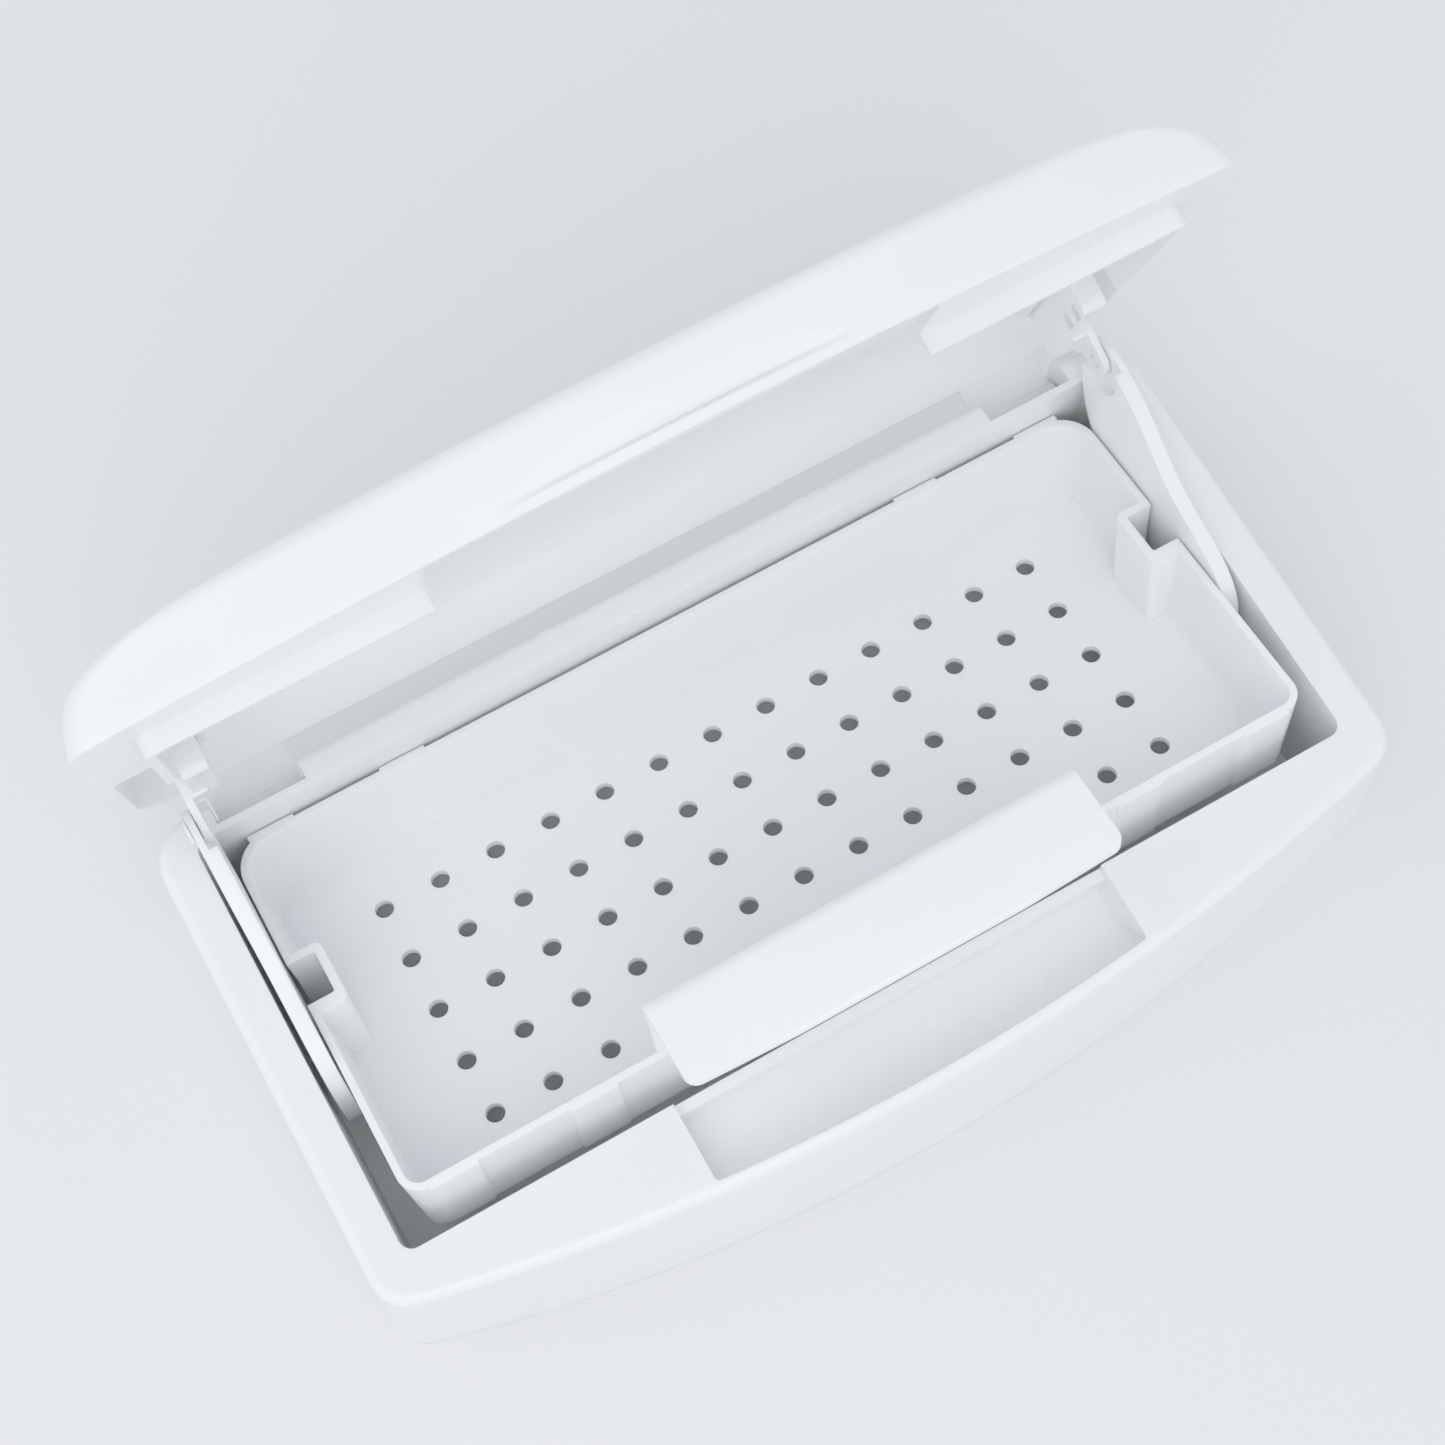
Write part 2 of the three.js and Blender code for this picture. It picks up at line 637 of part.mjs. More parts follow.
function pocketBody(side) {
  const inner = TRAY_HALF - POCKET_DEPTH - POCKET_WALL;
  const outer = TRAY_HALF - POCKET_WALL / 4;
  const x0 = Math.min(side * inner, side * outer);
  const x1 = Math.max(side * inner, side * outer);
  const y0 = POCKET_CENTRE - POCKET_WIDTH / 2 - POCKET_FRONT_WALL;
  const y1 = POCKET_CENTRE + POCKET_WIDTH / 2 + POCKET_WALL;
  return block(x0, x1, y0, y1, 0, TRAY_HEIGHT, 1.6);
}

function pocketChannel(side) {
  const inner = TRAY_HALF - POCKET_DEPTH;
  const outer = TRAY_HALF + OVERSHOOT;
  const x0 = Math.min(side * inner, side * outer);
  const x1 = Math.max(side * inner, side * outer);
  const y0 = POCKET_CENTRE - POCKET_WIDTH / 2;
  const y1 = POCKET_CENTRE + POCKET_WIDTH / 2;
  return block(x0, x1, y0, y1, -TRAY_HEIGHT, TRAY_HEIGHT * 2, 0.6);
}

function trayPads() {
  const pads = [];
  const ring = (x, end, draft) => {
    const inner = end * (TRAY_DEPTH / 2 - TRAY_WALL / 2 - draft);
    const outer = end * (TRAY_DEPTH / 2 + PAD_PROUD - draft);
    const y0 = Math.min(inner, outer);
    const y1 = Math.max(inner, outer);
    return rounded([
      [x - PAD_WIDTH / 2, y0, 0],
      [x + PAD_WIDTH / 2, y0, 0],
      [x + PAD_WIDTH / 2, y1, 0],
      [x - PAD_WIDTH / 2, y1, 0],
    ]);
  };
  PADS_FROM_END.forEach((fromEnd) => [-1, 1].forEach((side) => [-1, 1].forEach((end) => {
    pads.push(loft([
      { points: ring(side * (TRAY_HALF - fromEnd), end, TRAY_DRAFT), z: TRAY_FLOOR },
      { points: ring(side * (TRAY_HALF - fromEnd), end, 0), z: TRAY_HEIGHT },
    ]));
  })));
  return merged(pads);
}

function trayHoles() {
  const circle = (x, y) => {
    const points = [];
    for (let k = 0; k < 16; k += 1) {
      const a = (2 * Math.PI * k) / 16;
      points.push(new THREE.Vector2(x + HOLE_RADIUS * Math.cos(a), y + HOLE_RADIUS * Math.sin(a)));
    }
    return loft([{ points, z: -OVERSHOOT }, { points, z: TRAY_FLOOR + OVERSHOOT }]);
  };
  const holes = [];
  for (let i = -HOLES_EACH_SIDE; i <= HOLES_EACH_SIDE; i += 1) {
    for (let j = -HOLES_EACH_WAY; j <= HOLES_EACH_WAY; j += 1) {
      holes.push(circle(i * HOLE_PITCH, j * HOLE_PITCH));
    }
  }
  return merged(holes);
}

function trayHandle() {
  const wall = -TRAY_DEPTH / 2;
  const top = TRAY_HEIGHT + HANDLE_RISE;
  const web = wall + HANDLE_LEAN + TRAY_WALL;
  const profile = [
    [wall + TRAY_WALL, TRAY_HEIGHT - 2, 0],
    [wall, TRAY_HEIGHT - 2, 0],
    [web - HANDLE_THICKNESS, top - HANDLE_THICKNESS, 2],
    [web - HANDLE_REACH, top - HANDLE_THICKNESS, 0.6],
    [web - HANDLE_REACH, top, 0.6],
    [web, top, 3.5],
  ].reverse();
  const bent = roundedSideways(profile, -HANDLE_HALF, HANDLE_HALF);
  const plan = rounded([
    [-HANDLE_HALF, web + 10, 0],
    [-HANDLE_HALF, web - HANDLE_REACH + 1.4, 3],
    [-HANDLE_HALF / 2, web - HANDLE_REACH + 0.3, 0],
    [HANDLE_HALF / 2, web - HANDLE_REACH + 0.3, 0],
    [HANDLE_HALF, web - HANDLE_REACH + 1.4, 3],
    [HANDLE_HALF, web + 10, 0],
  ]);
  return bent.intersect(loft([{ points: plan, z: 0 }, { points: plan, z: top * 2 }]));
}

function trayFeet() {
  const feet = [];
  [-1, 1].forEach((side) => [-1, 1].forEach((end) => {
    const x = side * (TRAY_HALF - TRAY_FOOT_FROM_END);
    const y = end * (TRAY_DEPTH / 2 - TRAY_FOOT_FROM_SIDE);
    feet.push(block(
      x - TRAY_FOOT_HALF_LENGTH,
      x + TRAY_FOOT_HALF_LENGTH,
      y - TRAY_FOOT_HALF_WIDTH,
      y + TRAY_FOOT_HALF_WIDTH,
      -TRAY_FOOT_HEIGHT,
      TRAY_FLOOR / 2,
      TRAY_FOOT_CORNER,
    ));
  }));
  return merged(feet);
}

function strainerTray() {
  const outer = loft([
    { points: trayOutline(TRAY_DRAFT + 1.6), z: 0 },
    { points: trayOutline(TRAY_DRAFT + 0.5), z: 0.5 },
    { points: trayOutline(TRAY_DRAFT), z: 1.6 },
    { points: trayOutline(0), z: TRAY_HEIGHT },
  ]);
  const hollow = loft([
    { points: trayOutline(TRAY_DRAFT + TRAY_WALL + 0.6), z: TRAY_FLOOR },
    { points: trayOutline(TRAY_DRAFT + TRAY_WALL), z: TRAY_FLOOR + 0.6 },
    { points: trayOutline(TRAY_WALL), z: TRAY_HEIGHT },
    { points: trayOutline(TRAY_WALL), z: TRAY_HEIGHT + OVERSHOOT },
  ]);
  const tray = outer
    .subtract(hollow)
    .add(trayPads())
    .add(pocketBody(1).intersect(outer))
    .add(pocketBody(-1).intersect(outer))
    .subtract(pocketChannel(1))
    .subtract(pocketChannel(-1))
    .add(trayHandle())
    .add(trayFeet())
    .subtract(trayHoles());
  const centre = fromTray(0, 0);
  return tray.rotate([-TRAY_TILT, 0, 0]).translate([0, centre[0], centre[1]]);
}

// ---- lift arms ----
// Arm outline in its own frame: share of the pivot-to-peg length, then distance to the front of it
// for an arm of the drawn length. A longer arm is wider in the same measure.
const ARM_DRAWN_LENGTH = 69.77;
const ARM_OUTLINE = [
  [0.12, 10.6],
  [0.43, 15.5],
  [0.655, 23.5],
  [0.76, 24.5],
  [0.85, 22.5],
  [0.99, 13.2],
  [1.04, 6.1],
  [1.025, 0],
  [1, -1.2],
  [0.74, -7.6],
  [0.5, -14],
  [0.27, -15.4],
  [0.1, -11],
  [-0.03, -4.5],
  [-0.06, 0],
  [-0.03, 5],
];

function armPoint(share, ahead) {
  const dy = ARM_PEG[0] - ARM_PIVOT[0];
  const dz = ARM_PEG[1] - ARM_PIVOT[1];
  return [
    ARM_PIVOT[0] + share * dy + (ahead * dz) / ARM_DRAWN_LENGTH,
    ARM_PIVOT[1] + share * dz - (ahead * dy) / ARM_DRAWN_LENGTH,
  ];
}

function liftArm(side) {
  const outline = ARM_OUTLINE.map(([share, ahead], i) => {
    const [y, z] = armPoint(share, ahead);
    return [y, z, i > 1 && i < 7 ? 1.8 : 0];
  });
  const plate = sideways(fairEdge(outline), side * ARM_INNER, side * ARM_OUTER);
  const lapFace = side * (ARM_INNER + LAP_THICKNESS + GAP);
  const eye = rod(ARM_PIVOT[0], ARM_PIVOT[1], ARM_EYE_RADIUS, lapFace, side * ARM_OUTER);
  const lapClearance = rod(
    ARM_PIVOT[0],
    ARM_PIVOT[1],
    ARM_EYE_RADIUS + LAP_ROOM,
    side * (ARM_INNER - OVERSHOOT),
    lapFace,
  );
  const peg = rod(
    ARM_PEG[0],
    ARM_PEG[1],
    PEG_RADIUS,
    side * (ARM_INNER - PEG_LENGTH),
    side * (ARM_INNER + OVERSHOOT),
  );
  return plate
    .add(eye)
    .subtract(lapClearance)
    .add(peg)
    .subtract(rod(ARM_PIVOT[0], ARM_PIVOT[1], ARM_PIN_RADIUS + GAP, -HALF, HALF));
}

// A smooth closed edge through the given points.
function fairEdge(outline) {
  const curve = new THREE.CatmullRomCurve3(
    outline.map(([y, z]) => new THREE.Vector3(y, z, 0)),
    true,
    'centripetal',
  );
  const points = [];
  const total = outline.length * 3;
  for (let k = 0; k < total; k += 1) {
    const p = curve.getPoint(k / total);
    points.push([p.x, p.y]);
  }
  return points;
}

// ---- arm brackets: modelled with the lid closed, then turned open with it ----
function armBracket(side) {
  const pivot = turn(ARM_PIVOT, HINGE, -LID_OPEN_ANGLE);
  const low = BASE_HEIGHT - BRACKET_DROP;
  const high = BRACKET_TOP;
  const sill = low + 1.4;
  const nose = BRACKET_NOSE + 2;
  const rear = BRACKET_REAR - 1;
  const body = roundedSideways([
    [nose, low + 1.5, 2],
    [rear, low, 2],
    [rear, high, 0],
    [nose, high, 0],
  ], side * BRACKET_X, side * (BRACKET_X + BRACKET_WIDTH));
  const lapOuter = side * (ARM_INNER + LAP_THICKNESS);
  const bridge = sideways([
    [pivot[0] - BRIDGE_FRONT, low],
    [pivot[0] + 4, low],
    [pivot[0] + 4, low + 5],
    [pivot[0] - BRIDGE_FRONT, low + 5],
  ], side * (BRACKET_X + BRACKET_WIDTH / 2), lapOuter);
  const ear = sideways([
    [pivot[0] - BRIDGE_FRONT, low + 1],
    [pivot[0] - ARM_EYE_RADIUS + 0.6, pivot[1]],
    [pivot[0] + ARM_EYE_RADIUS - 0.6, pivot[1]],
    [pivot[0] + 4, low + 1],
  ], side * ARM_INNER, lapOuter);
  const eye = rod(pivot[0], pivot[1], ARM_EYE_RADIUS - 0.6, side * ARM_INNER, lapOuter);
  const window = (y) => sideways([
    [y, sill],
    [y + BRACKET_WINDOW, sill],
    [y + BRACKET_WINDOW, sill + BRACKET_WINDOW],
    [y, sill + BRACKET_WINDOW],
  ], side * (BRACKET_X - OVERSHOOT), side * (BRACKET_X + BRACKET_WIDTH + OVERSHOOT));
  const closed = body
    .add(bridge)
    .add(ear)
    .add(eye)
    .subtract(window(nose + 3.5))
    .subtract(window(nose + 3.5 + BRACKET_WINDOW * 1.8))
    .subtract(rod(pivot[0], pivot[1], ARM_PIN_RADIUS + GAP, -HALF, HALF));
  return turned(closed, HINGE, LID_OPEN_ANGLE);
}

function armPin(side) {
  const [y, z] = ARM_PIVOT;
  const shank = rod(y, z, ARM_PIN_RADIUS, side * ARM_INNER, side * (ARM_OUTER + GAP + ARM_PIN_HEAD));
  const headFace = side * (ARM_OUTER + GAP);
  const head = rod(y, z, ARM_PIN_HEAD_RADIUS, headFace, headFace + side * ARM_PIN_HEAD);
  return shank.add(head);
}

// ---- assembly ----
function plastic(colour, roughness) {
  return new THREE.MeshStandardMaterial({ color: colour, roughness, metalness: 0 });
}

function steel() {
  return new THREE.MeshStandardMaterial({ color: 0xc4c8cc, roughness: 0.28, metalness: 1 });
}

const group = new THREE.Group();
group.name = 'disinfecting_tray_box';
group.add(toMesh(baseTub(), 'base_tub', plastic(0xf3f4f6, 0.3)));
group.add(toMesh(lidShell(), 'lid_shell', plastic(0xf4f5f7, 0.28)));
group.add(toMesh(strainerTray(), 'strainer_tray', plastic(0xf1f3f6, 0.32)));
[['left', -1], ['right', 1]].forEach(([label, side]) => {
  group.add(toMesh(liftArm(side), `lift_arm_${label}`, plastic(0xeef0f3, 0.34)));
  group.add(toMesh(armBracket(side), `arm_bracket_${label}`, plastic(0xeceff2, 0.36)));
  group.add(toMesh(armPin(side), `arm_pivot_pin_${label}`, plastic(0xe9ecef, 0.4)));
  group.add(toMesh(hingePin(side), `hinge_pin_${label}`, steel()));
});

export default group;
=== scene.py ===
import json
import math

import bmesh
import bpy
from mathutils import Matrix, Vector


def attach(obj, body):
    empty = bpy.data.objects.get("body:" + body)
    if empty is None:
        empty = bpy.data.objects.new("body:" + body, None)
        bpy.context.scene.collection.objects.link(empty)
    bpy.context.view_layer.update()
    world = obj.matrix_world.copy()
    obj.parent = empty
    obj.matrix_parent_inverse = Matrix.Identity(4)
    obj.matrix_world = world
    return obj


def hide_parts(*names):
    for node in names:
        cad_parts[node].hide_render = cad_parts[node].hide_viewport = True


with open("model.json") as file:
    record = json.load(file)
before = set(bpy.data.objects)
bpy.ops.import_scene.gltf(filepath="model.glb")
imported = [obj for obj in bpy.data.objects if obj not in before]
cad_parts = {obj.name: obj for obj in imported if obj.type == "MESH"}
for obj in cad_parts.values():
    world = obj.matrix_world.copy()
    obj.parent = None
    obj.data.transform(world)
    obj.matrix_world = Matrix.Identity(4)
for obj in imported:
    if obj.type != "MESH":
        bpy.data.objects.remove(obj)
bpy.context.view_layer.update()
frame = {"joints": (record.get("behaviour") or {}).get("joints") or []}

MM = 0.001

# ---- joint places and angles, from the frame ----
joints = {joint["name"]: joint for joint in frame["joints"]}


def joint_line(name):
    """Where a joint's axis, which runs along X, stands: (y, z) in millimetres."""
    return tuple(round(value / MM, 3) for value in joints[name]["pos_m"][1:])


HINGE = joint_line("lid_hinge")
PIVOT = joint_line("arm_pivot_right")
OPEN = joints["lid_hinge"]["range_deg"][1]

# ---- sizes shared with the solid model, in millimetres and degrees ----
RIM_LENGTH = 245.2
RIM_REAR = 66.0
RIM_DEPTH = 129.4
BASE_HEIGHT = 42.0
LID_HEIGHT = 19.5
GAP = 0.3

# Outline of the rim and of the flared foot.
BOW = 508.0
FOOT_BOW = 435.0
FOOT_SIDE, FOOT_FRONT, FOOT_REAR = 1.7, 5.1, 1.5
FRONT_CORNER, REAR_CORNER = 9.0, 11.0
LEAST_CORNER = 1.5

# Base tub.
SHELL = 2.4
FLOOR = 2.5
RIM_ROUND = 2.4
BASIN_HALF = 113.4
BASIN_FRONT, BASIN_REAR = -39.9, 58.9
BASIN_CORNER = 3.0
REAR_WALL = 1.6
SCOOP_DEPTH = 9.0
SCOOP_MARGIN = 2.6
SCOOP_LIP = 2.6
SCOOP_CORNER = 1.2
SCOOP_BULGE = 7.0

# Hinges at the rear, and the notches in the tub that they stand in.
KNUCKLE = 2.5
PIN = 1.25
NOTCH_IN, NOTCH_OUT = 86.0, 107.0
NOTCH_FLOOR = 28.0
EAR = 6.0
HOUSING_PROUD = 2.0
TONGUE_SIDE_GAP = 0.6
TONGUE_SETBACK = 0.7

# Lid. The smoothed dome bulges a little between its rings, so all of it is set in by that much.
LID_WALL = 2.0
DOME_INSET = 0.08
FLANGE_DROP = 4.3
FLANGE_SIDE_SLOT = 2.8
FLANGE_CLEARANCE = 0.7
FLANGE_SIDE_END = 46.0
FLANGE_SIDE_ROOM = 2.4
GRIP_HALF, GRIP_DEPTH, GRIP_HEIGHT = 38.0, 2.4, 8.0

# Strainer tray, modelled level about its own centre and then set into the tub.
TRAY_HALF, TRAY_DEPTH, TRAY_HEIGHT = 107.9, 91.2, 26.7
TRAY_FLOOR = 2.0
TRAY_WALL = 1.6
TRAY_DRAFT = 1.4
TRAY_TILT = 10.72
TRAY_REAR_RIM = (57.9, 31.8)
TRAY_FRONT_CORNER, TRAY_REAR_CORNER = 5.0, 9.0
HOLE_PITCH, HOLE_RADIUS = 14.0, 2.2
HOLES_EACH_SIDE, HOLES_EACH_WAY = 6, 2
PAD_WIDTH, PAD_PROUD = 11.0, 0.7
PAD_CENTRES = (65.5, 97.5)
POCKET_CENTRE, POCKET_WIDTH, POCKET_DEPTH = 8.5, 10.6, 6.4
POCKET_WALL, POCKET_FRONT_WALL = 1.9, 3.2
HANDLE_HALF, HANDLE_REACH, HANDLE_RISE = 50.0, 22.6, 22.3
HANDLE_THICKNESS, HANDLE_LEAN = 2.2, 2.6
HANDLE_EDGE = 0.9
FOOT_FROM_END, FOOT_FROM_SIDE = 22.0, 8.0
FOOT_HALF_LENGTH, FOOT_HALF_WIDTH, FOOT_HEIGHT = 6.0, 2.0, 2.6

# Lift arms, their brackets in the lid, and the pins that join them.
ARM_IN, ARM_OUT = 108.5, 111.9
LAP = 1.6
LAP_ROOM = 4.0
EYE = 4.4
ARM_PIN, ARM_PIN_HEAD_RADIUS, ARM_PIN_HEAD = 1.2, 2.6, 0.7
PEG_RADIUS, PEG_LENGTH = 1.2, 9.0
PEG_ALONG, PEG_CLEARANCE = -4.5, 2.2
BRACKET_WIDTH, BRACKET_SIDE_GAP = 5.6, 0.2
BRACKET_DROP, BRACKET_HEIGHT = 5.5, 17.4
BRACKET_FRONT, BRACKET_BACK = 34.0, 20.0
BRACKET_WINDOW = 3.4
FORK_HALF = 3.8
RIB_THICKNESS = 1.6
RIB_LOW = 5.0

# ---- sizes that follow from those above ----
HALF = RIM_LENGTH / 2
RIM_FRONT = RIM_REAR - RIM_DEPTH
NOTCH_FRONT = BASIN_REAR + REAR_WALL
SCOOP_HALF = HANDLE_HALF + 1.8
FLANGE_GAP_HALF = HANDLE_HALF + FLANGE_SIDE_ROOM
LID_BOTTOM = BASE_HEIGHT + GAP
LID_TOP = BASE_HEIGHT + LID_HEIGHT
BRACKET_X = TRAY_HALF - BRACKET_WIDTH - BRACKET_SIDE_GAP
BRACKET_REAR = HINGE[0] - BRACKET_BACK
BRACKET_NOSE = BRACKET_REAR - BRACKET_FRONT

# ---- how finely curves are drawn ----
ARC = 9
DOME_ARC = 14
BOW_STEPS = 40
SCOOP_STEPS = 16
FINE = 48
HOLE_STEPS = 28
OVERSHOOT = 1.0
SHARP_ANGLE = 32.0

# Rings of the lid dome: share of the height, then how far the side, front and rear stand in.
DOME = [
    (0, 0, 0, 0),
    (0.23, 1.2, 0.1, 0.4),
    (0.44, 2.9, 0.3, 0.9),
    (0.61, 5.8, 0.6, 1.6),
    (0.73, 10.3, 1.1, 2.8),
    (0.81, 16, 2.2, 4.4),
    (0.87, 23, 4, 6.6),
    (0.93, 36, 8, 10.6),
    (0.975, 52, 15, 18),
    (1, 74, 27, 28),
]


# ---- geometry helpers ----
def rounded(corners, steps=ARC):
    """Corner list (x, y, radius) to outline points, counter-clockwise."""
    points = []
    count = len(corners)
    for i, (x, y, radius) in enumerate(corners):
        if radius <= 0:
            points.append((x, y))
            continue
        here = Vector((x, y))
        back = (Vector(corners[i - 1][:2]) - here).normalized()
        ahead = (Vector(corners[(i + 1) % count][:2]) - here).normalized()
        half = math.acos(max(-1.0, min(1.0, back.dot(ahead)))) / 2
        run = radius / math.tan(half)
        first = here + back * run
        last = here + ahead * run
        middle = here + (back + ahead).normalized() * (radius / math.sin(half))
        a0 = math.atan2(first.y - middle.y, first.x - middle.x)
        sweep = math.atan2(last.y - middle.y, last.x - middle.x) - a0
        if sweep > math.pi:
            sweep -= 2 * math.pi
        if sweep < -math.pi:
            sweep += 2 * math.pi
        for k in range(steps + 1):
            a = a0 + sweep * k / steps
            points.append((middle.x + radius * math.cos(a), middle.y + radius * math.sin(a)))
    return points


def to_object(bm, name):
    """Close a bmesh into an object, with its faces turned outwards."""
    bmesh.ops.recalc_face_normals(bm, faces=bm.faces[:])
    mesh = bpy.data.meshes.new(name)
    bm.to_mesh(mesh)
    bm.free()
    obj = bpy.data.objects.new(name, mesh)
    bpy.context.scene.collection.objects.link(obj)
    return obj


def loft(rings, name="part"):
    """Closed skin through rings of equal length: each ring is (points, z)."""
    bm = bmesh.new()
    levels = []
    for points, z in rings:
        levels.append([bm.verts.new((x * MM, y * MM, z * MM)) for x, y in points])
    count = len(levels[0])
    for low, high in zip(levels, levels[1:]):
        for i in range(count):
            j = (i + 1) % count
            bm.faces.new((low[i], low[j], high[j], high[i]))
    bm.faces.new(list(reversed(levels[0])))
    bm.faces.new(levels[-1])
    return to_object(bm, name)


def block(x0, x1, y0, y1, z0, z1, corner=0.0):
    """Upright box, its four upright edges rounded by the corner radius."""
    points = rounded([(x0, y0, corner), (x1, y0, corner), (x1, y1, corner), (x0, y1, corner)])
    return loft([(points, z0), (points, z1)])


def sideways(outline, xa, xb, name="part"):
    """Extrude a YZ outline along X."""
    bm = bmesh.new()
    x0, x1 = min(xa, xb) * MM, max(xa, xb) * MM
    low = [bm.verts.new((x0, y * MM, z * MM)) for y, z in outline]
    high = [bm.verts.new((x1, y * MM, z * MM)) for y, z in outline]
    count = len(outline)
    for i in range(count):
        j = (i + 1) % count
        bm.faces.new((low[i], low[j], high[j], high[i]))
    bm.faces.new(list(reversed(low)))
    bm.faces.new(high)
    return to_object(bm, name)


def circle(across, up, radius, steps):
    """Points of a circle, for either plane."""
    points = []
    for k in range(steps):
        a = 2 * math.pi * k / steps
        points.append((across + radius * math.cos(a), up + radius * math.sin(a)))
    return points


def rod(y, z, radius, xa, xb):
    """Round bar along X."""
    return sideways(circle(y, z, radius, FINE), xa, xb)


def bake_modifiers(obj):
    """Put the modifiers' result into the mesh and take them off."""
    bpy.context.view_layer.update()
    graph = bpy.context.evaluated_depsgraph_get()
    mesh = bpy.data.meshes.new_from_object(obj.evaluated_get(graph))
    obj.modifiers.clear()
    old = obj.data
    obj.data = mesh
    bpy.data.meshes.remove(old)


def combine(target, tool, operation):
    """Boolean target with tool, and drop the tool."""
    modifier = target.modifiers.new("cut", "BOOLEAN")
    modifier.operation = operation
    modifier.solver = "EXACT"
    modifier.object = tool
    bake_modifiers(target)
    tool_mesh = tool.data
    bpy.data.objects.remove(tool)
    bpy.data.meshes.remove(tool_mesh)
    return target


def add(target, *tools):
    for tool in tools:
        combine(target, tool, "UNION")
    return target


def cut(target, *tools):
    for tool in tools:
        combine(target, tool, "DIFFERENCE")
    return target


def gather(objects):
    """Several apart objects as one mesh, for a single boolean."""
    bm = bmesh.new()
    for obj in objects:
        bm.from_mesh(obj.data)
        mesh = obj.data
        bpy.data.objects.remove(obj)
        bpy.data.meshes.remove(mesh)
    return to_object(bm, "group")


def shift(obj, matrix):
    obj.data.transform(matrix)
    return obj


def turned(obj, centre, degrees):
    """Turn about a line along X; a positive angle lifts the front."""
    there = Matrix.Translation((0, centre[0] * MM, centre[1] * MM))
    spin = Matrix.Rotation(math.radians(-degrees), 4, "X")
    return shift(obj, there @ spin @ there.inverted())


def turn_point(point, centre, degrees):
    """The same turn for one (y, z) point."""
    a = math.radians(degrees)
    y, z = point[0] - centre[0], point[1] - centre[1]
    return (
        centre[0] + y * math.cos(a) + z * math.sin(a),
        centre[1] - y * math.sin(a) + z * math.cos(a),
    )


def soften(obj, width):
    """Break the sharp edges with a small real radius, and shade the rest smooth."""
    bevel = obj.modifiers.new("edge", "BEVEL")
    bevel.width = width * MM
    bevel.segments = 3
    bevel.limit_method = "ANGLE"
    bevel.angle_limit = math.radians(SHARP_ANGLE)
    bevel.use_clamp_overlap = True
    bevel.miter_outer = "MITER_ARC"
    bake_modifiers(obj)
    for polygon in obj.data.polygons:
        polygon.use_smooth = True
    obj.data.set_sharp_from_angle(angle=math.radians(SHARP_ANGLE))
    even = obj.modifiers.new("even", "WEIGHTED_NORMAL")
    even.keep_sharp = True
    even.weight = 80
    bake_modifiers(obj)
    return obj


def finish_piece(obj, name, body, node, material):
    """Name a piece, give it its material, hang it on the body it rides on, and hide the node it
    stands for.
    """
    obj.name = name
    obj.data.name = name
    obj.data.materials.clear()
    obj.data.materials.append(material)
    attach(obj, body)
    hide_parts(node)
    return obj


# ---- materials ----
def linear(hex_colour):
    """sRGB hex to a linear RGBA colour."""
    out = []
    for k in (0, 2, 4):
        c = int(hex_colour[k:k + 2], 16) / 255
        out.append(c / 12.92 if c <= 0.04045 else ((c + 0.055) / 1.055) ** 2.4)
    return (*out, 1.0)


def add_node(tree, kind, settings=None, links=None):
    """Add one node: settings are inputs or properties, links feed inputs from other outputs."""
    node = tree.nodes.new(kind)
    for key, value in (settings or {}).items():
        if key in node.inputs:
            node.inputs[key].default_value = value
        else:
            setattr(node, key, value)
    for key, source in (links or {}).items():
        tree.links.new(source, node.inputs[key])
    return node


def new_material(name):
    material = bpy.data.materials.new(name)
    material.use_nodes = True
    material.node_tree.nodes.clear()
    return material, material.node_tree


def per_metre(size_mm):
    """Noise scale that repeats about once in a real size."""
    return 1.0 / (size_mm * MM)


def ramp(tree, factor, stops):
    """Two-stop colour ramp: each stop is (position, hex colour)."""
    node = add_node(tree, "ShaderNodeValToRGB", None, {"Fac": factor})
    for element, (position, colour) in zip(node.color_ramp.elements, stops):
        element.position = position
        element.color = linear(colour)
    return node.outputs["Color"]


FLOW_SIZE = 42.0
FLOW_GLOSS = (-0.03, 0.04)
SKIN_SIZE = 0.6
PIN_SKIN_SIZE = 0.4
SKIN_DEPTH = 0.012
LIGHT_REACH = (4.0, 4.2, 4.6)
WIRE_SCRATCH = (25.0, 0.4, 0.4)
NAP_SIZE = 1.1


